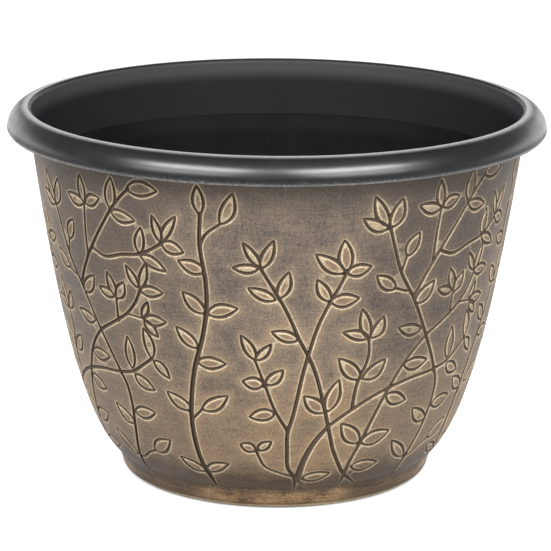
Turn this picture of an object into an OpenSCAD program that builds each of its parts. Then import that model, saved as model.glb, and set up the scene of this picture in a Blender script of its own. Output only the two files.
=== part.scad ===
// Round planter: a bell-shaped shell on a raised foot, carved with leafy twigs, a rolled rim that
// snaps over the shell's top edge, and four push-in drain plugs in the floor. Millimetres, +Z up,
// origin on the ground under the middle of the pot.

/* [Overall] */
// Height from the ground to the top of the rim
pot_h = 264; // [230:1:300]
// Outer diameter of the rolled rim
rim_d = 380; // [340:1:420]

/* [Shell] */
// Thickness of the shell, measured square to its surface
wall_t = 3; // [2.6:0.1:3.6]
// Fullness of the bell: a smaller figure gives a rounder belly above the foot
bell_power = 0.41; // [0.36:0.01:0.5]
// How far below the foot's top edge the bell curve would start
bell_drop = 6; // [5:0.5:10]

/* [Foot] */
// Height of the foot, up to where the bell starts
foot_h = 16; // [13:0.5:20]
// Outer diameter of the foot at its top edge
foot_top_d = 229; // [210:1:240]
// Taper of the foot's side on each side, from its top edge to its rounded lower edge
foot_taper = 3.5; // [1:0.5:5]
// Radius of the foot's rounded lower edge
foot_round = 6.5; // [5:0.5:8]
// Width of the flat ring that the pot stands on
foot_land = 10; // [8:0.5:14]
// Height of the raised floor's underside above the ground
floor_lift = 10; // [8.5:0.5:12]
// Thickness of the floor
floor_t = 3; // [2.6:0.1:3.6]

/* [Rim] */
// Width of the roll, from its crest to its widest point
roll_w = 14; // [12:0.5:17]
// Drop of the roll, from its crest to its widest point
roll_drop = 15; // [12:0.5:16]
// Height of the rim outside, from its crest to its lower edge
rim_h = 17.5; // [17:0.5:22]
// How far the lower edge tucks in under the widest point
rim_tuck = 1.2; // [0.5:0.1:2]
// Thickness of the roll
rim_t = 2.5; // [2:0.1:3]
// Radius of the crest on its inner side
crest_round = 3.5; // [2.5:0.5:4.5]
// Depth of the collar that reaches down inside the shell
collar_h = 41; // [28:1:45]
// Thickness of the collar
collar_t = 1.5; // [1.2:0.1:1.8]

/* [Twigs] */
// Depth of the grooves that draw the leafy twigs on the shell
twig_depth = 1; // [0.8:0.1:1.2]
// Width of the groove round each leaf
leaf_line = 2; // [1.6:0.1:2.4]

/* [Floor ribs] */
// Thickness of each rib under the floor
rib_t = 2; // [1.6:0.1:3]
// Depth of each rib below the floor
rib_depth = 5; // [3:0.5:7]
// Outer diameter of the ring that the ribs run out from
hub_d = 30; // [24:1:40]

/* [Drains] */
// Diameter of the circle that the drain holes lie on
drain_circle_d = 116; // [105:1:125]
// Diameter of each drain hole
drain_d = 22; // [18:0.5:24]
// Depth of the drain's collar, from the floor's top to its lower end
drain_depth = 8.5; // [7.5:0.5:9.5]
// Wall of the collar round each drain hole
drain_wall = 3; // [2:0.1:4]
// Diameter of each plug's head
plug_head_d = 30; // [28:0.5:32]
// Thickness of each plug's head
plug_head_t = 2; // [1.6:0.1:2.2]
// Width of the finger bar across each plug
plug_bar_w = 4; // [3:0.5:5]
// Depth of the finger pockets beside the bar
plug_pocket = 4.5; // [3:0.5:5]

/* [Clearances] */
// Gap between the collar and the shell
lap_gap = 0.1; // [0.1:0.05:0.3]
// Gap between the rim's lower lip and the shell
lip_gap = 0.3; // [0.2:0.05:0.5]
// Gap all round a plug's shank in its drain hole
plug_gap = 0.08; // [0.05:0.01:0.1]
// Gap all round a plug's head in its recess
head_gap = 0.3; // [0.3:0.05:0.5]

/* [Hidden] */
$fn = 96;

bronze = "#6b5846";
pewter = "#3b3d40";
soft_black = "#1b1b1d";

drain_count = 4;
rib_count = 8;
wall_steps = 30; // slices of the bell curve
lap_steps = 6; // slices of the lap joint's faces
arc_steps = 12; // slices of a quarter round

rim_r = rim_d / 2;
crest_r = rim_r - roll_w;
seat_z = pot_h - rim_t; // top edge of the shell, where the rim sits
rim_low_z = pot_h - rim_h;
rim_edge = 0.8; // bevel along the rim's lower edge
crest_low_z = pot_h - crest_round;
ledge_z = pot_h - collar_h; // ledge inside the shell, just under the collar
collar_low_z = ledge_z + lap_gap;
lap_t = wall_t - collar_t; // what is left of the shell outside the collar

foot_top_r = foot_top_d / 2;
foot_r = foot_top_r - foot_taper;
land_out_r = foot_r - foot_round;
land_in_r = land_out_r - foot_land;
flank_draft = 3; // the inner flank leans in by this much as it rises
flank_r = land_in_r - flank_draft;
floor_z = floor_lift + floor_t;
inner_round = foot_round - wall_t;

drain_low_z = floor_z - drain_depth;
plug_sink = 0.2; // the heads lie this far under the floor's face
recess_z = floor_z - plug_head_t - plug_sink;
plug_r = drain_d / 2 - plug_gap;
plug_edge = 0.8; // bevel at the shank's lower end
plug_tip_z = drain_low_z + 0.5;
plug_wall = 2.2; // wall left round the finger pockets
overlap = 1; // how far joined shapes reach into each other

// One motif of twigs is repeated round the wall, and every second one leans
motif_count = 4;
motif_h = 264; // height of the pot that the motif's heights are written for
motif_lean = 0.0225; // degrees round the wall for each mm up
motif_lean_z = 192; // height where a leaning motif keeps its place
motif_sink = 3; // how much lower a leaning motif sits
stem_run = 18; // longest reach round the wall of the straight pieces that a stem is cut in
stem_rise = 32; // their longest reach up the wall
stem_rise_low = 14; // the same near the foot, where the bell bends most
bend_z = 45; // height that the strong bend reaches up to
stem_lap = 0.6; // how far the pieces reach past each other, as a share of their width
leaf_steps = 3; // chords of each side of a leaf
leaf_point = 1; // how far a leaf's groove runs out past its base and tip, in groove widths
thin_share = 0.6; // deepest groove in the thinned top of the shell, as a share of its thickness

// Stems: width at the root, width at the tip, and a path of [degrees round the wall, height]
stems = [
    [4, 3, [[-20, 16], [-22.5, 36], [-23.5, 60], [-22, 98], [-18, 136], [-16.5, 170], [-17, 222]]],
    [2.5, 2, [[-17.5, 200], [-16, 208], [-12.5, 216]]],
    [3, 2.5, [[6.5, 20], [4, 36], [3.5, 60], [7.5, 116], [13, 162], [16.5, 182]]],
    [2.5, 2, [[3.5, 66], [0, 82], [-5, 119]]],
    [3, 2.5, [[28.5, 16], [21.5, 30], [17, 50], [13, 85], [5.5, 137], [-3.5, 186]]],
    [5, 3.5, [[7, 26], [8.5, 42], [14.5, 68]]],
    [3, 2.5, [[14.5, 68], [21, 80], [29, 91], [38, 97.5], [51.5, 103], [58.5, 116]]],
    [2, 2, [[6.5, 28], [-3.5, 39], [-5.5, 51]]],
    [3, 2, [[21, 80], [21.5, 98], [23.5, 133]]],
    [3, 2.5, [[22, 18], [23, 36], [30.5, 88], [41, 128], [52, 147], [56.5, 166]]],
    [2.5, 2, [[48.5, 139], [48.5, 156]]],
    [3, 2.5, [[44.5, 22], [48, 57], [48.5, 90], [41, 128], [30.5, 178], [26.5, 210]]],
    [3, 2.5, [[35, 159], [41.5, 190], [49, 220], [54.5, 237]]],
    [2.5, 2, [[39.5, 181], [40, 220]]],
    [2.5, 2.5, [[41.5, 189], [45.5, 185], [57, 192], [63, 202]]]
];

// Leaves: base and tip as [degrees round the wall, height], and the bulge of each side
leaves = [
    [[-22, 30], [-30, 39], 4.5, 2.5], [[-22, 30], [-14, 38], 4, 3],
    [[-23, 79], [-30, 90], 5.5, 3], [[-19.5, 126], [-25, 140], 4.5, 3.5],
    [[-16.5, 152], [-9, 157], 5, 4], [[-12.5, 216], [-9.5, 238], 3, 6],
    [[-17, 222], [-17.5, 242], 4, 3.5], [[16.5, 183], [15.5, 205], 5, 4.5],
    [[16, 182], [9, 196], 5.5, 3.5], [[-5, 120], [-8.5, 138], 3, 3.5],
    [[-3.5, 186], [-0.5, 206], 3, 4], [[-3.5, 187], [-7.5, 204], 3, 2.5],
    [[0.5, 165], [3, 184], 3, 5], [[13.5, 80], [7.5, 93], 5.5, 4],
    [[14, 80], [16.5, 104], 4.5, 5], [[8.5, 27], [17.5, 30], 3, 4.5],
    [[22.5, 103], [16, 120], 5.5, 4], [[23.5, 133], [21, 155], 4, 3.5],
    [[24, 133], [27, 148], 2, 6], [[31, 88], [38, 81], 3.5, 5.5],
    [[25, 53], [18.5, 70], 6, 4.5], [[25.5, 53], [34.5, 59], 5, 5.5],
    [[49, 220], [49.5, 243], 5, 4], [[40, 220], [39, 240], 4, 3],
    [[63, 203], [66.5, 222], 3.5, 2.5], [[56.5, 167], [58.5, 186], 2.5, 3.5],
    [[48.5, 157], [46, 174], 3.5, 3], [[51.5, 105], [51, 129], 4, 4],
    [[58.5, 116], [56.5, 138], 2.5, 5], [[26, 212], [22, 234], 5, 3],
    [[26.5, 211], [29, 231], 3.5, 6], [[49.5, 71], [57.5, 74], 4, 5],
    [[44.5, 33], [36.5, 50], 4.5, 3]
];

// Outer radius of the shell at height z
function bell(z) = pow((z - foot_h + bell_drop) / (seat_z - foot_h + bell_drop), bell_power);
function shell_r(z) = crest_r - (crest_r - foot_top_r) * (1 - bell(z)) / (1 - bell(foot_h));
// Width of the shell at height z, cut level, for a thickness t square to the surface
function lean(z) = (shell_r(z + 0.5) - shell_r(z - 0.5));
function level_t(z, t) = t * sqrt(1 + lean(z) * lean(z));
function inner_r(z) = shell_r(z) - level_t(z, wall_t);
// Both faces of the collar, which lies inside the shell's thinned top
function collar_out_r(z) = shell_r(z) - lap_t - lap_gap;
function collar_in_r(z) = collar_out_r(z) - collar_t;

// Quarter of an ellipse about (cr, cz), from angle a to angle b
function quarter(cr, cz, rr, rz, a, b, steps = arc_steps) =
    [for (i = [0:steps]) let (w = a + (b - a) * i / steps) [cr + rr * cos(w), cz + rz * sin(w)]];
// Heights from a to b, closer together near a, where the bell bends most
function heights(a, b, steps, crowd = 1) = [for (i = [0:steps]) a + (b - a) * pow(i / steps, crowd)];

function shell_outside() = [for (z = heights(foot_h, seat_z, wall_steps, 1.8)) [shell_r(z), z]];
function lap_face() = [for (z = heights(seat_z, ledge_z, lap_steps)) [shell_r(z) - lap_t, z]];
function shell_inside() =
    [for (i = [wall_steps:-1:0]) let (z = heights(foot_h, ledge_z, wall_steps, 1.8)[i]) [inner_r(z), z]];

// Half section of the shell: foot, bell, thinned top, inner face and raised floor
function shell_section() = concat(
    [[0, floor_lift], [flank_r, floor_lift], [land_in_r, 0]],
    quarter(land_out_r, foot_round, foot_round, foot_round, -90, 0),
    shell_outside(),
    lap_face(),
    shell_inside(),
    quarter(land_out_r, foot_round, inner_round, inner_round, 0, -90),
    [[land_in_r + wall_t, wall_t], [flank_r + wall_t, floor_z], [0, floor_z]]
);

// Half section of the rim: collar, crest, roll and the lip that turns in to the shell
function rim_section() = concat(
    [for (z = heights(collar_low_z, seat_z, lap_steps)) [collar_out_r(z), z]],
    quarter(crest_r, pot_h - roll_drop, roll_w - rim_t, roll_drop - rim_t, 90, 0),
    [
        [rim_r - rim_tuck - rim_t, rim_low_z + rim_t],
        [shell_r(rim_low_z + rim_t) + lip_gap, rim_low_z + rim_t],
        [shell_r(rim_low_z) + lip_gap, rim_low_z],
        [rim_r - rim_tuck - rim_edge, rim_low_z],
        [rim_r - rim_tuck, rim_low_z + rim_edge]
    ],
    quarter(crest_r, pot_h - roll_drop, roll_w, roll_drop, 0, 90),
    crest_inside(),
    [for (i = [1:lap_steps]) let (z = heights(crest_low_z, collar_low_z, lap_steps)[i]) [collar_in_r(z), z]]
);
function crest_inside() = quarter(
    crest_r, crest_low_z, crest_r - collar_in_r(crest_low_z), crest_round, 90, 180
);

// Step from p to q along the wall, as [mm round it, mm up its slope]
function wall_step(p, q) = let (z = (p[1] + q[1]) / 2) [
    shell_r(z) * (q[0] - p[0]) * PI / 180,
    (q[1] - p[1]) * sqrt(1 + lean(z) * lean(z))
];
// Point at share u of the smooth curve from b to c, whose neighbours are a and d
function bend(a, b, c, d, u) = let (u2 = u * u, u3 = u2 * u)
    (2 * b + (c - a) * u + (2 * a - 5 * b + 4 * c - d) * u2 + (3 * b - a - 3 * c + d) * u3) / 2;
// How many straight pieces run from p to q
function piece_count(p, q) = let (
    step = wall_step(p, q),
    rise = p[1] < bend_z ? stem_rise_low : stem_rise
) max(1, ceil(abs(step[0]) / stem_run), ceil(abs(step[1]) / rise));
// A path with points added, so that its pieces are short
function smooth(path) = let (last = len(path) - 1) concat(
    [for (i = [0:last - 1]) let (n = piece_count(path[i], path[i + 1])) each
        [for (k = [0:n - 1])
            bend(path[max(i - 1, 0)], path[i], path[i + 1], path[min(i + 2, last)], k / n)]],
    [path[last]]
);
// Point p of the motif in its copy number k
function in_copy(p, k) = let (leans = k % 2, z = p[1] - leans * motif_sink) [
    p[0] + k * 360 / motif_count + leans * motif_lean * (z - motif_lean_z),
    max(foot_h, z * pot_h / motif_h)
];
// Outline of a leaf of length l along y, whose sides bulge by a and b
function leaf_outline(l, a, b) = concat(
    [for (i = [0:leaf_steps - 1]) [-a * sin(180 * i / leaf_steps), l * (i / leaf_steps - 0.5)]],
    [for (i = [leaf_steps:-1:1]) [b * sin(180 * i / leaf_steps), l * (i / leaf_steps - 0.5)]]
);
// How deep a groove may be whose upper end is at height z
function groove_depth(z) = z > ledge_z ? min(twig_depth, thin_share * lap_t) : twig_depth;

// Stands a flat shape on the wall between points p and q, with y from p to q, as a cutter
module wall_cutter(p, q) {
    middle = (p + q) / 2;
    step = wall_step(p, q);
    rotate([0, 0, middle[0]]) translate([0, -shell_r(middle[1]), middle[1]])
        rotate([atan(lean(middle[1])) + 90, 0, 0]) rotate([0, 0, -atan2(step[0], step[1])])
            linear_extrude(2 * groove_depth(max(p[1], q[1])), center = true) children();
}

module stem(root_w, tip_w, path) {
    points = smooth(path);
    count = len(points) - 1;
    for (i = [0:count - 1]) {
        w = root_w + (tip_w - root_w) * (i + 0.5) / count;
        wall_cutter(points[i], points[i + 1])
            square([w, norm(wall_step(points[i], points[i + 1])) + stem_lap * w], center = true);
    }
}

module leaf(base, tip, a, b) {
    l = norm(wall_step(base, tip));
    half = leaf_line / 2;
    point = 2 * leaf_point * leaf_line;
    wall_cutter(base, tip) difference() {
        polygon(leaf_outline(l + point, a + half, b + half));
        polygon(leaf_outline(l - point, a - half, b - half));
    }
}

module twigs() {
    for (k = [0:motif_count - 1]) {
        for (s = stems) stem(s[0], s[1], [for (p = s[2]) in_copy(p, k)]);
        for (f = leaves) leaf(in_copy(f[0], k), in_copy(f[1], k), f[2], f[3]);
    }
}

// Places its children at each drain hole, or at hole number i alone
module at_drain(i) {
    rotate([0, 0, 45 + i * 360 / drain_count]) translate([drain_circle_d / 2, 0, 0]) children();
}

module rib() {
    translate([hub_d / 2 - rib_t, -rib_t / 2, floor_lift - rib_depth])
        cube([flank_r + overlap - hub_d / 2 + rib_t, rib_t, rib_depth + overlap]);
}

module floor_ribs() {
    for (i = [0:rib_count - 1]) rotate([0, 0, i * 360 / rib_count]) rib();
    translate([0, 0, floor_lift - rib_depth]) difference() {
        cylinder(d = hub_d, h = rib_depth + overlap);
        translate([0, 0, -overlap]) cylinder(d = hub_d - 2 * rib_t, h = rib_depth + overlap);
    }
}

module drain_collar() {
    translate([0, 0, drain_low_z]) cylinder(d = drain_d + 2 * drain_wall, h = drain_depth - floor_t / 2);
    translate([0, 0, recess_z - drain_wall])
        cylinder(d = plug_head_d + 2 * drain_wall, h = floor_z - floor_t / 2 - recess_z + drain_wall);
}

module drain_bore() {
    translate([0, 0, drain_low_z - overlap]) cylinder(d = drain_d, h = drain_depth + 2 * overlap);
    translate([0, 0, recess_z]) cylinder(r = plug_head_d / 2 + head_gap, h = floor_z - recess_z + overlap);
}

module pot_body() {
    color(bronze) difference() {
        union() {
            rotate_extrude() polygon(shell_section());
            floor_ribs();
            for (i = [0:drain_count - 1]) at_drain(i) drain_collar();
        }
        for (i = [0:drain_count - 1]) at_drain(i) drain_bore();
        twigs();
    }
}

module rolled_rim() {
    color(pewter) rotate_extrude() polygon(rim_section());
}

module finger_pockets() {
    translate([0, 0, recess_z + plug_head_t - plug_pocket]) difference() {
        cylinder(r = plug_r - plug_wall, h = plug_pocket + overlap);
        translate([-drain_d / 2, -plug_bar_w / 2, -overlap])
            cube([drain_d, plug_bar_w, plug_pocket + 3 * overlap]);
    }
}

module drain_plug(i) {
    color(soft_black) at_drain(i) difference() {
        rotate_extrude() polygon([
            [0, plug_tip_z],
            [plug_r - plug_edge, plug_tip_z],
            [plug_r, plug_tip_z + plug_edge],
            [plug_r, recess_z],
            [plug_head_d / 2, recess_z],
            [plug_head_d / 2, recess_z + plug_head_t],
            [0, recess_z + plug_head_t]
        ]);
        finger_pockets();
    }
}

pot_body();
rolled_rim();
for (i = [1:drain_count]) drain_plug(i - 1);
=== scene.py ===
"""Round bell-shaped planter: a shell carved with leafy twigs, a rolled rim and four drain plugs.

Sizes are in millimetres and angles in degrees, and meshes are made in metres. The front of the
planter faces -Y, and a bearing round the wall is counted from there towards +X.
"""

from __future__ import annotations

import logging
import math
from dataclasses import dataclass, field
from enum import Enum
from typing import Any, Iterable, Sequence

import bmesh
import bpy
import numpy as np
from mathutils import Matrix, Vector
from mathutils.geometry import delaunay_2d_cdt


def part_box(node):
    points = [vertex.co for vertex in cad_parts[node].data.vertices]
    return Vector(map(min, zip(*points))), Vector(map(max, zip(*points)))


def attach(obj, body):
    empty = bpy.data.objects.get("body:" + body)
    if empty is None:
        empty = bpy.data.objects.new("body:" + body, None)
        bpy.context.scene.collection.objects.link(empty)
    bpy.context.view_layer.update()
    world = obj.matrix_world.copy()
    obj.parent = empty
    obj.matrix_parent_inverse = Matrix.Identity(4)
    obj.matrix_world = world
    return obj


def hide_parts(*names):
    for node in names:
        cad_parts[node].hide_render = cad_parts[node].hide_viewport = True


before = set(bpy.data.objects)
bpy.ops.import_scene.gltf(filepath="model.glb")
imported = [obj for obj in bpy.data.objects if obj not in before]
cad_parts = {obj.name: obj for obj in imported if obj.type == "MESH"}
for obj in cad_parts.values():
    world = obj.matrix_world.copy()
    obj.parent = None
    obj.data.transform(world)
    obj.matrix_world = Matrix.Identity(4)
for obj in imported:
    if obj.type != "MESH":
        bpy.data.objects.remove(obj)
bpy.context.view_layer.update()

MM = 0.001
LOG = logging.getLogger("planter")
BUMP_DEPTH = 0.2
QUARTERS = 4
CORNER_ANGLE = 35.0

Point = tuple[float, float]
Color = tuple[float, float, float, float]
# Low and high end of a band, and then, if they aren't 0 and 1, the results there.
Ramp = tuple[float, ...]


def srgb(red: int, green: int, blue: int) -> Color:
    """A colour as Blender wants it, from the red, green and blue seen on a screen.

    Args:
        red: Red, from 0 to 255.
        green: Green, from 0 to 255.
        blue: Blue, from 0 to 255.

    Returns:
        The linear colour with an alpha of 1.
    """
    share = [value / 255 for value in (red, green, blue)]
    linear = [v / 12.92 if v <= 0.04045 else ((v + 0.055) / 1.055) ** 2.4 for v in share]
    return (linear[0], linear[1], linear[2], 1.0)


def smoothstep(low: float, high: float, value: np.ndarray) -> np.ndarray:
    """Rises smoothly from 0 at low to 1 at high.

    Args:
        low: Where the rise starts.
        high: Where the rise ends.
        value: The values to rate.

    Returns:
        The share for each value, from 0 to 1.
    """
    share = np.clip((value - low) / (high - low), 0, 1)
    return share * share * (3 - 2 * share)


# Shapes that several pieces share


@dataclass(frozen=True)
class PotForm:
    """Outlines of the pot, as a radius at each height.

    The overall radius and height come from the frame, and the rest are the moulding's own sizes.
    """

    rim_radius: float
    height: float
    wall: float = 3.0
    bell_power: float = 0.41
    bell_start: float = 10.0
    foot_height: float = 16.0
    foot_top_radius: float = 114.5
    foot_taper: float = 3.5
    foot_round: float = 6.5
    foot_land: float = 10.0
    floor_low: float = 10.0
    floor_high: float = 13.0
    flank_draft: float = 3.0
    roll_width: float = 14.0
    roll_drop: float = 15.0
    roll_wall: float = 2.5
    rim_depth: float = 17.5
    lip_tuck: float = 1.2
    lip_bevel: float = 0.8
    crest_round: float = 3.5
    collar_depth: float = 41.0
    collar_wall: float = 1.5
    lap_gap: float = 0.1
    lip_gap: float = 0.3

    @property
    def seat(self) -> float:
        """Height of the shell's top edge, which the rim sits on."""
        return self.height - self.roll_wall

    @property
    def crest_radius(self) -> float:
        """Radius of the rim's highest line."""
        return self.rim_radius - self.roll_width

    @property
    def ledge(self) -> float:
        """Height of the ledge inside the shell, just under the rim's collar."""
        return self.height - self.collar_depth

    @property
    def land_outer(self) -> float:
        """Outer radius of the flat ring that the pot stands on."""
        return self.foot_top_radius - self.foot_taper - self.foot_round

    @property
    def land_inner(self) -> float:
        """Inner radius of the flat ring that the pot stands on."""
        return self.land_outer - self.foot_land

    @property
    def flank_top(self) -> float:
        """Radius where the foot's inner flank meets the underside of the floor."""
        return self.land_inner - self.flank_draft

    def bell(self, height: Any) -> Any:
        """Share of the bell curve's rise at a height, from 0 to 1 at the shell's top edge."""
        rise = np.clip(height - self.bell_start, 0, None) / (self.seat - self.bell_start)
        return rise**self.bell_power

    def outer(self, height: Any) -> Any:
        """Outer radius of the shell, from the foot's rounding up to the shell's top edge.

        Args:
            height: One height or an array of them.

        Returns:
            The radius at each height.
        """
        rise = np.asarray(height, float)
        reach = self.crest_radius - self.foot_top_radius
        short = (1 - self.bell(rise)) / (1 - self.bell(self.foot_height))
        drop = (self.foot_height - rise) / (self.foot_height - self.foot_round)
        foot = self.foot_top_radius - self.foot_taper * drop
        return np.where(rise >= self.foot_height, self.crest_radius - reach * short, foot)

    def slope(self, height: Any) -> Any:
        """How fast the outer radius grows with height, eased over the line above the foot.

        Args:
            height: One height or an array of them.

        Returns:
            The growth at each height.
        """
        reach = 0.8
        rise = np.asarray(height, float)
        return (self.outer(rise + reach) - self.outer(rise - reach)) / (2 * reach)

    def inner(self, height: Any) -> Any:
        """Inner radius of the full wall at each height."""
        return self.outer(height) - self.wall * np.sqrt(1 + self.slope(height) ** 2)

    def collar_outer(self, height: Any) -> Any:
        """Outer radius of the rim's collar at each height."""
        return self.outer(height) - (self.wall - self.collar_wall) - self.lap_gap

    def collar_inner(self, height: Any) -> Any:
        """Inner radius of the rim's collar at each height."""
        return self.collar_outer(height) - self.collar_wall


def quarter(centre: Point, radii: Point, start: float, end: float, steps: int) -> list[Point]:
    """Points of an ellipse's arc.

    Args:
        centre: Middle of the ellipse, as radius and height.
        radii: Half axes along the radius and along the height.
        start: First angle.
        end: Last angle.
        steps: Number of chords.

    Returns:
        The points from the first angle to the last.
    """
    turns = [math.radians(start + (end - start) * i / steps) for i in range(steps + 1)]
    return [(centre[0] + radii[0] * math.cos(a), centre[1] + radii[1] * math.sin(a)) for a in turns]


def rows(outline: Any, heights: Iterable[float]) -> list[Point]:
    """Points of an outline, which is a function from height to radius, at some heights."""
    return [(float(outline(z)), float(z)) for z in heights]


# Node trees


class Wiring:
    """Adds nodes to one node tree and joins their sockets."""

    def __init__(self, tree: bpy.types.NodeTree) -> None:
        """Keeps the tree that the nodes go into."""
        self.tree = tree

    def node(self, kind: str, sockets: dict[Any, Any] | None = None, **settings: Any) -> Any:
        """Adds one node.

        Args:
            kind: The node's type name.
            sockets: What goes into its inputs, by name or number: a value, a socket to link, or
                a list of sockets for an input that takes several.
            settings: The node's own properties.

        Returns:
            The new node.
        """
        made = self.tree.nodes.new(kind)
        for name, value in settings.items():
            setattr(made, name, value)
        for key, value in (sockets or {}).items():
            target = made.inputs[key]
            for item in value if isinstance(value, list) else [value]:
                if isinstance(item, bpy.types.NodeSocket):
                    self.tree.links.new(item, target)
                else:
                    target.default_value = item
        return made

    def math(self, operation: str, first: Any, second: Any = 0.0, clamp: bool = False) -> Any:
        """Adds a math node.

        Args:
            operation: What it works out.
            first: Its first value.
            second: Its second value, where the operation has one.
            clamp: Whether the result is kept from 0 to 1.

        Returns:
            The result's socket.
        """
        made = self.node("ShaderNodeMath", {0: first, 1: second}, operation=operation)
        made.use_clamp = clamp
        return made.outputs[0]

    def band(self, value: Any, low: float, high: float, start: float = 0.0, end: float = 1.0) -> Any:
        """Maps a value smoothly from one range to another.

        Args:
            value: The socket to map.
            low: Where the rise starts.
            high: Where the rise ends.
            start: Result at and below low.
            end: Result at and above high.

        Returns:
            The mapped socket.
        """
        sockets = {0: value, 1: low, 2: high, 3: start, 4: end}
        return self.node("ShaderNodeMapRange", sockets, interpolation_type="SMOOTHSTEP").outputs[0]

    def mix(self, share: Any, first: Any, second: Any, blend: str = "MIX") -> Any:
        """Mixes two colours.

        Args:
            share: How much of the second colour is mixed in, from 0 to 1.
            first: First colour.
            second: Second colour.
            blend: How they are mixed.

        Returns:
            The mixed colour's socket.
        """
        sockets = {0: share, 6: first, 7: second}
        return self.node("ShaderNodeMix", sockets, data_type="RGBA", blend_type=blend).outputs[2]

    def times(self, *shares: Any) -> Any:
        """Multiplies two or more shares.

        Returns:
            The product's socket.
        """
        product = shares[0]
        for share in shares[1:]:
            product = self.math("MULTIPLY", product, share)
        return product

    def noise(self, vector: Any, scale: Any, detail: float, roughness: float) -> Any:
        """Adds a noise texture and returns its grey output."""
        sockets = {"Vector": vector, "Scale": scale, "Detail": detail, "Roughness": roughness}
        return self.node("ShaderNodeTexNoise", sockets).outputs["Fac"]

    def weigh(self, grain: Any, weights: dict[str, float]) -> Any:
        """Adds up a grain node's outputs about their middle.

        Args:
            grain: The node with the outputs.
            weights: The share of each output, by name.

        Returns:
            A socket that is about 0.5 on average.
        """
        total: Any = 0.5 - 0.5 * sum(weights.values())
        for name, weight in weights.items():
            total = self.math("ADD", total, self.times(grain.outputs[name], weight))
        return total

    def attribute(self, name: str) -> Any:
        """Reads a point attribute as a number."""
        return self.node("ShaderNodeAttribute", attribute_name=name).outputs["Fac"]

    def stretched(self, vector: Any, scale: tuple[float, float, float]) -> Any:
        """Scales coordinates along each axis."""
        sockets = {"Vector": vector, "Scale": scale}
        return self.node("ShaderNodeMapping", sockets).outputs["Vector"]


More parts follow.
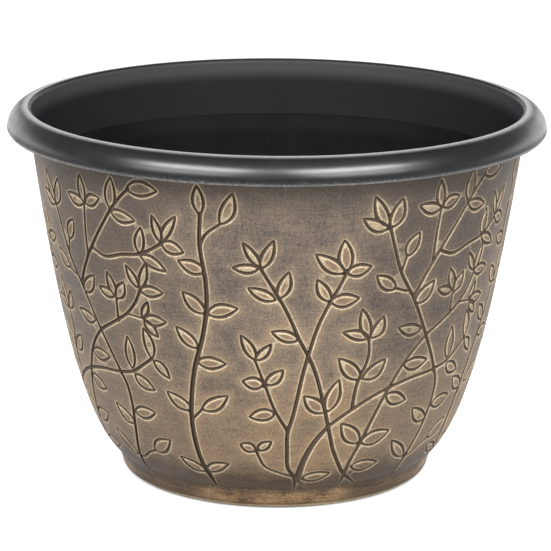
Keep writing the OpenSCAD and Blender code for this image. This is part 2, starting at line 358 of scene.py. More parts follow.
class ModelTree:
    """A geometry node tree with named inputs, built in code."""

    def __init__(self, name: str, takes_mesh: bool = False) -> None:
        """Makes an empty tree.

        Args:
            name: Name of the tree.
            takes_mesh: Whether the tree works on a mesh that it is given.
        """
        self.tree = bpy.data.node_groups.new(name, "GeometryNodeTree")
        sockets = self.tree.interface
        sockets.new_socket("Geometry", in_out="OUTPUT", socket_type="NodeSocketGeometry")
        if takes_mesh:
            sockets.new_socket("Geometry", in_out="INPUT", socket_type="NodeSocketGeometry")
        self.wires = Wiring(self.tree)
        self.source = self.tree.nodes.new("NodeGroupInput")
        self.sink = self.tree.nodes.new("NodeGroupOutput")

    def number(self, name: str, whole: bool = False) -> Any:
        """Adds a named number to the tree's inputs and returns its socket.

        Args:
            name: Name of the input.
            whole: Whether it is a whole number.

        Returns:
            The socket.
        """
        kind = "NodeSocketInt" if whole else "NodeSocketFloat"
        self.tree.interface.new_socket(name, in_out="INPUT", socket_type=kind)
        return self.source.outputs[name]

    def vector(self, x: Any, y: Any, z: Any) -> Any:
        """Makes a vector from three numbers."""
        return self.wires.node("ShaderNodeCombineXYZ", {0: x, 1: y, 2: z}).outputs[0]

    def move(self, geometry: Any, x: Any, z: Any) -> Any:
        """Moves geometry out from the axis and up."""
        sockets = {"Geometry": geometry, "Translation": self.vector(x, 0.0, z)}
        return self.wires.node("GeometryNodeTransform", sockets).outputs[0]

    def drum(self, radius: Any, bottom: Any, height: Any, sides: int) -> Any:
        """A round solid on the axis, standing at a height.

        Args:
            radius: Its radius.
            bottom: Height of its lower face.
            height: Its own height.
            sides: Number of its sides.

        Returns:
            The solid.
        """
        sockets = {"Vertices": sides, "Radius": radius, "Depth": height}
        shape = self.wires.node("GeometryNodeMeshCylinder", sockets)
        middle = self.wires.math("ADD", bottom, self.wires.times(height, 0.5))
        return self.move(shape.outputs[0], 0.0, middle)

    def round_the_axis(self, shape: Any, count: Any, radius: Any, z: Any, turn: float) -> Any:
        """Repeats a shape round the axis, each copy turned to face outwards.

        Args:
            shape: Geometry to repeat.
            count: Number of copies.
            radius: Distance of each copy from the axis.
            z: Height of each copy.
            turn: Bearing of the first copy, in degrees from +X.

        Returns:
            The copies as real meshes.
        """
        wires = self.wires
        points = wires.node("GeometryNodeMeshCircle", {"Vertices": count, "Radius": radius})
        index = wires.node("GeometryNodeInputIndex").outputs[0]
        angle = wires.math("DIVIDE", wires.times(index, math.tau), count)
        made = wires.node("GeometryNodeInstanceOnPoints", {
            "Points": self.move(points.outputs[0], 0.0, z), "Instance": shape,
            "Rotation": self.vector(0.0, 0.0, angle),
        })
        spin = (0.0, 0.0, math.radians(turn))
        turned = wires.node("GeometryNodeTransform", {"Geometry": made.outputs[0], "Rotation": spin})
        return wires.node("GeometryNodeRealizeInstances", {0: turned.outputs[0]}).outputs[0]

    def join(self, solids: list[Any]) -> Any:
        """Joins solids into one."""
        return self.boolean({1: solids}, "UNION")

    def cut(self, solid: Any, others: list[Any]) -> Any:
        """Cuts the others from a solid."""
        return self.boolean({0: solid, 1: others}, "DIFFERENCE")

    def boolean(self, solids: dict[int, Any], kind: str) -> Any:
        """Works on solids as the kind says, exactly."""
        node = self.wires.node("GeometryNodeMeshBoolean", solids, operation=kind, solver="EXACT")
        return node.outputs[0]

    def close(self, geometry: Any, material: bpy.types.Material | None = None) -> None:
        """Ends the tree: real meshes, a material if one is given, and the output.

        Args:
            geometry: What the tree gives.
            material: Material that the tree sets on it.
        """
        made = self.wires.node("GeometryNodeRealizeInstances", {0: geometry})
        dressed = self.wires.node("GeometryNodeSetMaterial", {"Geometry": made.outputs[0]})
        dressed.inputs["Material"].default_value = material
        self.tree.links.new(dressed.outputs[0], self.sink.inputs[0])

    def make(self, name: str, values: dict[str, float], start: bpy.types.Mesh | None = None) -> Any:
        """Runs the tree once and keeps its result as a plain mesh.

        Args:
            name: Name of the new mesh.
            values: The tree's inputs, by name.
            start: Mesh that the tree works on, if it needs one.

        Returns:
            The new mesh.
        """
        holder = bpy.data.objects.new(name, start or bpy.data.meshes.new(name))
        bpy.context.scene.collection.objects.link(holder)
        modifier = holder.modifiers.new("Build", "NODES")
        modifier.node_group = self.tree
        for item in self.tree.interface.items_tree:
            if item.in_out == "INPUT" and item.name in values:
                modifier[item.identifier] = values[item.name]
        graph = bpy.context.evaluated_depsgraph_get()
        made = bpy.data.meshes.new_from_object(holder.evaluated_get(graph))
        bpy.data.objects.remove(holder)
        return made


def lathe(name: str, section: Sequence[Point], segments: int, closed: bool) -> bpy.types.Mesh:
    """Turns a section about the pot's axis.

    Args:
        name: Name of the new mesh.
        section: Points as radius and height, in millimetres.
        segments: Number of segments round the axis.
        closed: Whether the last point joins the first.

    Returns:
        The turned mesh, in metres.
    """
    middle = 100.0
    wire = bpy.data.meshes.new(name + "_section")
    count = len(section)
    edges = [(i, (i + 1) % count) for i in range(count if closed else count - 1)]
    # The sweep turns a profile's second axis downwards, so heights go in with their sign changed.
    points = [((radius - middle) * MM, -height * MM, 0.0) for radius, height in section]
    wire.from_pydata(points, edges, [])
    model = ModelTree("Lathe", takes_mesh=True)
    wires = model.wires
    ring = wires.node(
        "GeometryNodeCurvePrimitiveCircle",
        {"Resolution": model.number("Segments", whole=True), "Radius": model.number("Middle Radius")},
    )
    level = wires.node("GeometryNodeSetCurveNormal", {"Curve": ring.outputs[0]}, mode="Z_UP")
    profile = wires.node("GeometryNodeMeshToCurve", {"Mesh": model.source.outputs[0]})
    skin = wires.node(
        "GeometryNodeCurveToMesh", {"Curve": level.outputs[0], "Profile Curve": profile.outputs[0]}
    )
    model.close(skin.outputs[0])
    return model.make(name, {"Segments": segments, "Middle Radius": middle * MM}, wire)


# The carved twigs


@dataclass(frozen=True)
class Stem:
    """One twig's line, as bearings in degrees and heights in millimetres along it."""

    start_width: float
    end_width: float
    points: tuple[Point, ...]


@dataclass(frozen=True)
class Leaf:
    """One leaf's outline: its base, its tip and how far each side swells from that line.

    The left and the right side are those seen from the base, looking to the tip.
    """

    base: Point
    tip: Point
    left: float
    right: float


@dataclass(frozen=True)
class Groove:
    """A carved line on the unrolled wall: bearing, distance up the wall and half width at points."""

    bearing: np.ndarray
    rise: np.ndarray
    half_width: np.ndarray
    depth: np.ndarray
    is_leaf: bool


STEMS = (
    Stem(4, 3, ((-20, 16), (-21, 26), (-22, 32), (-23.5, 55), (-23.5, 70), (-22, 98), (-21, 110),
         (-18, 136), (-16.5, 160), (-16.5, 174), (-17.5, 202), (-17, 222))),
    Stem(2, 2, ((-23, 72), (-20, 80))),
    Stem(2.5, 2, ((-17.5, 200), (-16, 208), (-12.5, 216))),
    Stem(3, 2.5, ((6.5, 16), (6.5, 26), (4, 36), (3.5, 50), (3.5, 65), (4.5, 75), (7.5, 116),
         (11, 150), (13, 162), (14.5, 170), (16.5, 182))),
    Stem(2.5, 2, ((3.5, 66), (0, 82), (-2.5, 100), (-5, 119))),
    Stem(3, 2.5, ((28.5, 16), (26.5, 20), (21.5, 30), (19, 40), (17, 50), (15.5, 62),
         (13, 85), (9.5, 115), (5.5, 137), (3, 153), (-3.5, 186))),
    Stem(5, 3.5, ((7, 26), (8.5, 42), (11.5, 58), (14.5, 68))),
    Stem(3, 2.5, ((14.5, 68), (17.5, 74), (21, 80), (29, 91), (38, 97.5), (46.5, 100), (51.5, 103),
         (55.5, 110), (58.5, 116))),
    Stem(2, 1.5, ((7, 26), (9, 21), (11.5, 16))),
    Stem(2, 2, ((6.5, 28), (1.5, 32), (-3.5, 39), (-4.5, 44), (-5.5, 51))),
    Stem(3, 2, ((21, 81), (21.5, 98), (24, 121), (23.5, 133))),
    Stem(3, 2.5, ((22, 17), (22.5, 26), (23, 36), (25.5, 54), (30.5, 88), (36, 114), (41, 128),
         (46.5, 137), (52, 147), (55, 157), (56.5, 166))),
    Stem(2.5, 2, ((48.5, 139), (48.5, 156))),
    Stem(1.5, 1.5, ((52.5, 146), (56.5, 145))),
    Stem(3, 2.5, ((44.5, 20), (45, 29), (48, 57), (49, 77), (48.5, 90), (46.5, 101), (41, 128),
         (35, 158), (30.5, 178), (28, 197), (26.5, 210))),
    Stem(2, 2, ((45.5, 32), (48, 34), (51, 39), (54, 42))),
    Stem(2, 2, ((30.5, 178), (31.5, 189))),
    Stem(2, 2, ((32.5, 164), (29.5, 167))),
    Stem(3, 2.5, ((35, 159), (37, 170), (41.5, 190), (46.5, 210), (49, 220), (52, 230),
         (54.5, 237))),
    Stem(2.5, 2, ((39.5, 181), (39.5, 200), (40, 220))),
    Stem(2.5, 2.5, ((41.5, 189), (45.5, 185), (51.5, 189), (57, 192), (61, 198), (63, 202))),
)
LEAVES = (
    Leaf((-22, 30), (-30, 39), 4.5, 2.5), Leaf((-22, 30), (-14, 38), 4, 3),
    Leaf((-23, 79), (-30, 90), 5.5, 3), Leaf((-20, 80), (-12.5, 92), 3.5, 5.5),
    Leaf((-20, 116), (-12.5, 116), 4, 4.5), Leaf((-19.5, 126), (-25, 140), 4.5, 3.5),
    Leaf((-17, 152), (-22.5, 166), 5, 4), Leaf((-16.5, 152), (-9, 157), 5, 4),
    Leaf((-16.5, 182), (-23, 188), 5, 4), Leaf((-12.5, 216), (-9.5, 238), 3, 6),
    Leaf((-17, 222), (-17.5, 242), 4, 3.5), Leaf((16.5, 183), (15.5, 205), 5, 4.5),
    Leaf((16, 182), (9, 196), 5.5, 3.5), Leaf((16.5, 182), (22.5, 185), 3.5, 4.5),
    Leaf((13, 162), (9.5, 178), 4.5, 3), Leaf((13, 162), (20, 163), 4, 5),
    Leaf((-5, 120), (-8.5, 138), 3, 3.5), Leaf((-5, 120), (-1, 132), 2, 3.5),
    Leaf((-3, 102), (-8.5, 104), 4.5, 4), Leaf((-2.5, 102), (2, 113), 3, 4.5),
    Leaf((0, 80), (-7, 77), 4, 4.5), Leaf((-3.5, 187), (-7.5, 204), 3, 2.5),
    Leaf((-4, 186), (-10, 186), 3.5, 2.5), Leaf((-3.5, 186), (-0.5, 206), 3, 4),
    Leaf((0, 164), (-6.5, 172), 4, 3), Leaf((0.5, 165), (3, 184), 3, 5),
    Leaf((5.5, 135), (-1, 141), 4, 3.5), Leaf((13.5, 80), (7.5, 93), 5.5, 4),
    Leaf((14, 80), (16.5, 104), 4.5, 5), Leaf((8.5, 27), (17.5, 30), 3, 4.5),
    Leaf((-5.5, 51), (-10, 55), 3.5, 3.5), Leaf((-5, 51), (-1, 58), 3, 3),
    Leaf((22.5, 103), (16, 120), 5.5, 4), Leaf((23, 103), (29, 116), 3, 6.5),
    Leaf((23.5, 133), (21, 155), 4, 3.5), Leaf((23.5, 133), (16.5, 139), 3, 3.5),
    Leaf((24, 133), (27, 148), 2, 6), Leaf((31, 88), (38, 81), 3.5, 5.5),
    Leaf((24, 34), (33.5, 34), 3.5, 5), Leaf((25, 53), (18.5, 70), 6, 4.5),
    Leaf((25.5, 53), (34.5, 59), 5, 5.5), Leaf((35, 109), (43, 109), 3.5, 5.5),
    Leaf((49, 220), (49.5, 243), 5, 4), Leaf((49, 219), (56, 215), 3, 5),
    Leaf((54, 237), (62, 238), 6, 4.5), Leaf((40, 220), (39, 240), 4, 3),
    Leaf((40, 220), (33.5, 224), 5, 2.5), Leaf((40.5, 220), (45.5, 226), 4.5, 3.5),
    Leaf((57, 192), (57.5, 211), 4.5, 3), Leaf((57, 191), (64, 182), 4, 3),
    Leaf((63, 202), (60.5, 221), 3, 2.5), Leaf((63, 203), (66.5, 222), 3.5, 2.5),
    Leaf((63, 202), (68.5, 197), 4, 4.5), Leaf((56, 167), (52.5, 182), 3, 2.5),
    Leaf((56.5, 167), (58.5, 186), 2.5, 3.5), Leaf((56.5, 166), (63, 166), 3.5, 4),
    Leaf((48.5, 157), (46, 174), 3.5, 3), Leaf((48, 157), (42.5, 161), 3.5, 2.5),
    Leaf((48.5, 156), (51.5, 169), 3, 5), Leaf((56.5, 146), (58.5, 158), 2, 3),
    Leaf((57, 145), (63.5, 145), 3.5, 4), Leaf((57, 144), (61, 133), 3, 3),
    Leaf((51.5, 105), (51, 129), 4, 4), Leaf((52, 101), (58.5, 92), 3, 5),
    Leaf((58.5, 116), (56.5, 138), 2.5, 5), Leaf((59, 115), (63.5, 103), 4, 2.5),
    Leaf((26, 211), (19.5, 219), 5.5, 2), Leaf((26, 212), (22, 234), 5, 3),
    Leaf((26.5, 211), (29, 231), 3.5, 6), Leaf((31.5, 189), (34.5, 205), 5, 4),
    Leaf((29.5, 167), (24, 178), 5, 3.5), Leaf((35.5, 154), (41, 168), 3.5, 6),
    Leaf((39, 134), (31.5, 138), 5.5, 2.5), Leaf((48.5, 61), (41.5, 73), 6, 2.5),
    Leaf((49.5, 71), (57.5, 74), 4, 5), Leaf((44.5, 33), (36.5, 50), 4.5, 3),
    Leaf((54, 42), (61, 54), 5, 5),
)


@dataclass
class TwigPattern:
    """The twigs round the wall: one motif, repeated four times with every second one leaning."""

    form: PotForm
    motif_turn: float = 90.0
    lean: float = 0.0225
    lean_height: float = 192.0
    sunk: float = 3.0
    leaf_line_ends: float = 1.5
    leaf_line_middle: float = 2.5
    leaf_fullness: float = 0.85
    leaf_roundness: float = 0.9
    depth_share: float = 0.42
    deepest: float = 1.5
    stem_step: float = 2.3
    leaf_step: float = 1.6
    degree_width: float = 2.7
    root_low: float = 15.6
    root_full: float = 27.0
    root_share: float = 0.35
    low: float = 8.0
    high: float = 246.0
    samples: int = 1200
    side_length: float = 1.15
    least_stations: int = 7
    heights: np.ndarray = field(init=False)
    rises: np.ndarray = field(init=False)

    def __post_init__(self) -> None:
        """Measures the distance up the wall's slope once, for later look-ups."""
        self.heights = np.linspace(self.low, self.high, self.samples)
        steps = np.hypot(np.diff(self.heights), np.diff(self.form.outer(self.heights)))
        self.rises = np.concatenate([[0.0], np.cumsum(steps)])

    def rise(self, height: Any) -> Any:
        """Distance up the wall's slope at a height."""
        return np.interp(height, self.heights, self.rises)

    def height(self, rise: Any) -> Any:
        """Height at a distance up the wall's slope."""
        return np.interp(rise, self.rises, self.heights)

    def arc(self, rise: Any) -> Any:
        """Millimetres round the wall for one degree, at a distance up its slope."""
        return math.radians(1) * self.form.outer(self.height(rise))

    def place(self, points: np.ndarray, copy: int) -> tuple[np.ndarray, np.ndarray]:
        """Puts a motif's points into one of its copies.

        Args:
            points: Bearings and heights in the motif.
            copy: Number of the copy, counted round the wall.

        Returns:
            The bearings and the distances up the slope in that copy.
        """
        bearing = points[:, 0] + copy * self.motif_turn
        height = points[:, 1]
        if copy % 2:
            height = height - self.sunk
            bearing = bearing + self.lean * (height - self.lean_height)
        return bearing, self.rise(np.maximum(height, self.low))

    def curve(self, points: Sequence[Point], step: float) -> np.ndarray:
        """Runs a smooth line through a stem's points.

        Args:
            points: Bearings and heights to pass through.
            step: Distance between the new points.

        Returns:
            Bearings and heights along the line.
        """
        knots = np.array(points, float)
        span = np.hypot(np.diff(knots[:, 0]) * self.degree_width, np.diff(knots[:, 1]))
        along = np.concatenate([[0.0], np.cumsum(span)])
        stations = np.linspace(0, along[-1], max(3, int(along[-1] / step) + 2))
        if len(knots) == 2:
            share = (stations / along[-1])[:, None]
            return knots[0] + (knots[1] - knots[0]) * share
        slope = np.gradient(knots, along, axis=0)
        left = np.clip(np.searchsorted(along, stations, side="right") - 1, 0, len(along) - 2)
        gap = (along[left + 1] - along[left])[:, None]
        u = (stations - along[left])[:, None] / gap
        return (
            (2 * u**3 - 3 * u**2 + 1) * knots[left]
            + (u**3 - 2 * u**2 + u) * gap * slope[left]
            + (3 * u**2 - 2 * u**3) * knots[left + 1]
            + (u**3 - u**2) * gap * slope[left + 1]
        )

    def leaf_side(self, leaf: Leaf, bulge: float) -> np.ndarray:
        """One side of a leaf's outline.

        Args:
            leaf: The leaf.
            bulge: How far the side swells to the left of the line from base to tip.

        Returns:
            Bearings and heights from the base to the tip.
        """
        scale = math.radians(1) * float(self.form.outer((leaf.base[1] + leaf.tip[1]) / 2))
        base = np.array([leaf.base[0] * scale, leaf.base[1]])
        axis = np.array([leaf.tip[0] * scale, leaf.tip[1]]) - base
        length = float(np.hypot(*axis))
        across = np.array([-axis[1], axis[0]]) / length
        stations = max(self.least_stations, int(length * self.side_length / self.leaf_step) + 1)
        share = np.linspace(0, 1, stations)[:, None]
        swell = np.abs(np.sin(np.pi * share**self.leaf_fullness)) ** self.leaf_roundness
        points = base + axis * share + across * bulge * swell
        return points / np.array([scale, 1.0])

    def grooves(self, copies: Iterable[int]) -> list[Groove]:
        """All carved lines of some copies of the motif.

        Args:
            copies: Numbers of the copies.

        Returns:
            The lines.
        """
        made = []
        for copy in copies:
            for stem in STEMS:
                bearing, rise = self.place(self.curve(stem.points, self.stem_step), copy)
                height = self.height(rise)
                taper = smoothstep(self.root_low, self.root_full, height)
                width = np.linspace(stem.start_width, stem.end_width, len(rise))
                width *= self.root_share + (1 - self.root_share) * taper
                kept = height > self.root_low
                made.append(self.groove(bearing[kept], rise[kept], width[kept], False))
            for leaf in LEAVES:
                for bulge in (leaf.left, -leaf.right):
                    bearing, rise = self.place(self.leaf_side(leaf, bulge), copy)
                    swell = np.sin(np.linspace(0, np.pi, len(rise)))
                    width = self.leaf_line_ends + (self.leaf_line_middle - self.leaf_line_ends) * swell
                    made.append(self.groove(bearing, rise, width, True))
        return made

    def groove(self, bearing: np.ndarray, rise: np.ndarray, width: np.ndarray, is_leaf: bool) -> Groove:
        """One carved line, cut as deep as its width allows."""
        depth = np.minimum(width * self.depth_share, self.deepest)
        return Groove(bearing, rise, width / 2, depth, is_leaf)

    def leaf_outlines(self, copies: Iterable[int]) -> list[tuple[np.ndarray, np.ndarray]]:
        """Closed outlines of the leaves in some copies, as bearings and distances up the slope.

        Args:
            copies: Numbers of the copies.

        Returns:
            The outlines.
        """
        made = []
        for copy in copies:
            for leaf in LEAVES:
                left = self.leaf_side(leaf, leaf.left)
                right = self.leaf_side(leaf, -leaf.right)[::-1]
                made.append(self.place(np.concatenate([left, right]), copy))
        return made


@dataclass
class Relief:
    """How high the wall stands at points of its surface, and what the finish needs to know there."""

    pattern: TwigPattern
    copies: tuple[int, ...] = (0, 1, 2)
    reach: float = 12.0
    margin: float = 15.0
    least_arc: float = 1.9
    shoulder: float = 0.3
    wall_share: float = 0.8
    lip_height: float = 0.14
    lip_middle: float = 0.6
    lip_half: float = 1.0
    pillow: float = 0.45
    pillow_start: float = 0.2
    pillow_reach: float = 3.2
    grooves: list[Groove] = field(init=False)

    def __post_init__(self) -> None:
        """Lays out the carved lines once."""
        self.grooves = self.pattern.grooves(self.copies)

    def nearest(self, bearing: np.ndarray, rise: np.ndarray) -> tuple[np.ndarray, ...]:
        """Finds the nearest groove edge from each point.

        Args:
            bearing: Bearings of the points.
            rise: Distances of the points up the slope.

        Returns:
            The distance to the edge, which is negative inside a groove, the direction away from
            the groove's middle (two arrays), and that groove's half width and depth.
        """
        count = len(bearing)
        arc = self.pattern.arc(rise)
        edge = np.full(count, self.reach)
        away = np.zeros((count, 2))
        half = np.ones(count)
        depth = np.zeros(count)
        for groove in self.grooves:
            wide = self.margin / self.least_arc
            near = np.flatnonzero(
                (bearing > groove.bearing.min() - wide)
                & (bearing < groove.bearing.max() + wide)
                & (rise > groove.rise.min() - self.margin)
                & (rise < groove.rise.max() + self.margin)
            )
            if not len(near):
                continue
            start = np.stack([
                (groove.bearing[None, :] - bearing[near, None]) * arc[near, None],
                groove.rise[None, :] - rise[near, None],
            ], axis=-1)
            first, step = start[:, :-1], np.diff(start, axis=1)
            square = np.maximum((step**2).sum(-1), 1e-9)
            share = np.clip(-(first * step).sum(-1) / square, 0, 1)
            foot = first + step * share[..., None]
            width = groove.half_width[:-1] + np.diff(groove.half_width) * share
            gap = np.hypot(foot[..., 0], foot[..., 1]) - width
            best = gap.argmin(1)
            row = np.arange(len(near))
            better = gap[row, best] < edge[near]
            row, best = row[better], best[better]
            chosen = near[row]
            edge[chosen] = gap[row, best]
            away[chosen] = -foot[row, best]
            half[chosen] = width[row, best]
            depth[chosen] = groove.depth[best]
        length = np.maximum(np.hypot(away[:, 0], away[:, 1]), 1e-9)[:, None]
        return edge, away / length, half, depth

    def profile(
        self, edge: np.ndarray, half: np.ndarray, depth: np.ndarray, leaf: np.ndarray
    ) -> np.ndarray:
        """Height of the surface over the plain wall.

        Args:
            edge: Distance to the nearest groove edge.
            half: Half width of that groove.
            depth: Depth of that groove.
            leaf: 1 inside a leaf's outline and 0 elsewhere.

        Returns:
            The height at each point, in millimetres.
        """
        cut = smoothstep(0.0, 1.0, (self.shoulder - edge) / (self.shoulder + self.wall_share * half))
        lip = np.clip(1 - ((edge - self.lip_middle) / self.lip_half) ** 2, 0, None) ** 2
        swell = leaf * smoothstep(self.pillow_start, self.pillow_reach, edge)
        return -depth * cut + self.lip_height * lip * (depth > 0) + self.pillow * swell

    def inside_leaf(self, bearing: np.ndarray, rise: np.ndarray) -> np.ndarray:
        """Marks the points that lie inside a leaf's outline with 1.

        Args:
            bearing: Bearings of the points.
            rise: Distances of the points up the slope.

        Returns:
            1 or 0 for each point.
        """
        inside = np.zeros(len(bearing))
        for outline_bearing, outline_rise in self.pattern.leaf_outlines(self.copies):
            near = np.flatnonzero(
                (bearing > outline_bearing.min())
                & (bearing < outline_bearing.max())
                & (rise > outline_rise.min())
                & (rise < outline_rise.max())
            )
            if not len(near):
                continue
            x, y = bearing[near, None], rise[near, None]
            x0, y0 = outline_bearing[None, :], outline_rise[None, :]
            x1, y1 = np.roll(x0, -1, 1), np.roll(y0, -1, 1)
            crosses = (y0 > y) != (y1 > y)
            gap = np.where(y1 == y0, 1e-9, y1 - y0)
            crosses &= x < x0 + (x1 - x0) * (y - y0) / gap
            inside[near[crosses.sum(1) % 2 == 1]] = 1
        return inside


# The pieces


class Coat(Enum):
    """Material slots of the shell's mesh."""

    RUBBED = 0
    BARE = 1


@dataclass
class CarvedShell:
    """The pot's shell in one mesh: carved wall, foot, inside face and the recess under the floor."""

    form: PotForm
    segments: int = 240
    copies_per_mesh: int = 2
    start_bearing: float = 18.0
    grid_row: float = 4.0
    unrolled_arc: float = 2.62
    clear_of_groove: float = 1.6
    clear_in_leaf: float = 1.3
    leaf_stations: int = 12
    lip_line: float = 0.9
    stem_line_share: float = 0.5
    line_slack: float = 0.4
    border_rise: float = 0.6
    border_turn: float = 0.3
    probe: float = 0.12
    top_rows: int = 5
    ledge_rows: int = 8
    inside_rows: int = 26
    inside_ease: float = 1.8
    inner_foot_steps: int = 6
    outer_foot_steps: int = 10
    rubbed_reach: float = 2.6
    rubbed_low: float = 1.2
    thinned_gap: float = 0.5
    foot_gap: float = 2.0
    weld: float = 0.02
    pattern: TwigPattern = field(init=False)
    relief: Relief = field(init=False)

    def __post_init__(self) -> None:
        """Prepares the pattern and the relief for this form."""
        self.pattern = TwigPattern(self.form)
        self.relief = Relief(self.pattern)

    def build(self, finishes: dict[Coat, bpy.types.Material]) -> bpy.types.Object:
        """Makes the shell's object.

        Args:
            finishes: The material for each slot of the mesh.

        Returns:
            The finished object.
        """
        points, normals, values, faces = self.carved_half()
        half_turn = np.array([-1.0, -1.0, 1.0])
        count = len(points)
        points = np.concatenate([points, points * half_turn])
        normals = np.concatenate([normals, normals * half_turn])
        faces = np.concatenate([faces, faces + count])
        mesh = bpy.data.meshes.new("pot_shell")
        mesh.from_pydata((points * MM).tolist(), [], faces.tolist())
        plain = lathe("pot_lining", self.plain_section(), self.segments, closed=False)
        for name, value in values.items():
            self.store(mesh, name, np.tile(value, 2))
            elsewhere = self.relief.reach if name == "groove_edge" else 0.0
            self.store(plain, name, np.full(len(plain.vertices), elsewhere))
        self.store(mesh, "made_normal", normals)
        self.store(plain, "made_normal", np.zeros((len(plain.vertices), 3)))
        merged = join_meshes("pot_shell", [mesh, plain], self.weld * MM)
        for coat in Coat:
            merged.materials.append(finishes[coat])
        self.paint(merged)
        self.shade(merged)
        return as_object("pot_shell", merged)

    def store(self, mesh: bpy.types.Mesh, name: str, values: np.ndarray) -> None:
        """Keeps a number or a direction for each point of a mesh.

        Args:
            mesh: The mesh.
            name: Name of the attribute.
            values: One row for each point.
        """
        kind, key = ("FLOAT_VECTOR", "vector") if values.ndim == 2 else ("FLOAT", "value")
        layer = mesh.attributes.new(name, kind, "POINT")
        layer.data.foreach_set(key, values.astype(np.float32).ravel())

    def carved_half(self) -> tuple[np.ndarray, np.ndarray, dict[str, np.ndarray], np.ndarray]:
        """Half of the carved wall.

        Returns:
            Its points in millimetres, their normals, the numbers that the finish reads at each
            point, and the triangles. The numbers are the distance to the nearest groove's edge, 1
            inside a leaf, and how far the point lies to the lower right of its groove's middle,
            from -1 to 1.
        """
        flat, faces = self.triangulate()
        bearing, rise = flat[:, 0], flat[:, 1]
        edge, away, half, depth = self.relief.nearest(bearing, rise)
        leaf = self.relief.inside_leaf(bearing, rise)
        lift = self.relief.profile(edge, half, depth, leaf)
        beyond = self.relief.profile(edge + self.probe, half, depth, leaf)
        steep = (beyond - self.relief.profile(edge - self.probe, half, depth, leaf)) / (2 * self.probe)
        height = self.pattern.height(rise)
        slope = self.form.slope(height)
        level = np.stack([np.sin(np.radians(bearing)), -np.cos(np.radians(bearing))], -1)
        across = np.stack([np.cos(np.radians(bearing)), np.sin(np.radians(bearing))], -1)
        run = 1 / np.sqrt(1 + slope**2)
        outward = np.column_stack([level * run[:, None], -slope * run])
        upward = np.column_stack([level * (slope * run)[:, None], run])
        sideways = np.column_stack([across, np.zeros(len(bearing))])
        points = np.column_stack([level * self.form.outer(height)[:, None], height])
        points = points + outward * lift[:, None]
        lean = steep[:, None] * away
        normal = outward - lean[:, :1] * sideways - lean[:, 1:] * upward
        normal /= np.linalg.norm(normal, axis=1)[:, None]
        lower_right = away @ np.array([math.sqrt(0.5), -math.sqrt(0.5)])
        lower_right *= np.clip(1 + edge / half, 0, 1)
        values = {"groove_edge": edge, "inside_leaf": leaf, "lower_right": lower_right}
        return points, normal, values, faces

    def triangulate(self) -> tuple[np.ndarray, np.ndarray]:
        """Divides the unrolled half wall into triangles that follow the grooves.

        Returns:
            Bearing and distance up the slope of each point, and the triangles.
        """
        top = float(self.pattern.rises[-1])
        end_bearing = self.start_bearing + self.copies_per_mesh * self.pattern.motif_turn
        columns = int(round((end_bearing - self.start_bearing) * self.segments / 360))
        bearings = np.linspace(self.start_bearing, end_bearing, columns + 1)
        levels = np.linspace(0, top, int(round(top / self.grid_row)) + 1)
        border = [(b, 0.0) for b in bearings[:-1]] + [(end_bearing, r) for r in levels[:-1]]
        border += [(b, top) for b in bearings[:0:-1]] + [(self.start_bearing, r) for r in levels[:0:-1]]
        points: list[Point] = list(border)
        joins: list[tuple[int, int]] = []
        for line in self.groove_lines():
            base = len(points)
            points.extend(map(tuple, line))
            joins.extend((base + i, base + i + 1) for i in range(len(line) - 1))
        points.extend(map(tuple, self.free_points(bearings, levels)))
        flat = [Vector((bearing * self.unrolled_arc, rise)) for bearing, rise in points]
        made = delaunay_2d_cdt(flat, joins, [list(range(len(border)))], 1, 1e-4)
        corners = np.array([tuple(v) for v in made[0]])
        corners[:, 0] /= self.unrolled_arc
        faces = np.array([tuple(face) for face in made[2]])
        middle = corners[faces, 0].mean(1)
        faces = faces[(middle > self.start_bearing) & (middle < end_bearing)]
        used, renumbered = np.unique(faces, return_inverse=True)
        return corners[used], renumbered.reshape(faces.shape)

    def groove_lines(self) -> list[np.ndarray]:
        """Lines along each groove that the mesh follows: middle, edges and the lip beside it.

        Returns:
            The lines, as bearings and distances up the slope.
        """
        made = []
        highest = self.pattern.rises[-1] - self.border_rise
        for groove in self.relief.grooves:
            if groove.bearing.max() < self.start_bearing - 1:
                continue
            arc = self.pattern.arc(groove.rise)
            x, y = groove.bearing * arc.mean(), groove.rise
            along = np.stack([np.gradient(x), np.gradient(y)], -1)
            along /= np.maximum(np.hypot(along[:, 0], along[:, 1]), 1e-9)[:, None]
            offsets = [groove.half_width * 0, groove.half_width, groove.half_width + self.lip_line]
            if not groove.is_leaf:
                offsets.append(groove.half_width * self.stem_line_share)
            for offset in offsets:
                for side in (-1, 1) if offset.any() else (1,):
                    bearing = groove.bearing - side * along[:, 1] * offset / arc
                    rise = groove.rise + side * along[:, 0] * offset
                    edge = self.relief.nearest(bearing, rise)[0]
                    kept = edge > offset - groove.half_width - self.line_slack
                    kept &= (rise > self.border_rise) & (rise < highest)
                    made.extend(split_runs(np.column_stack([bearing, rise]), kept))
        return made

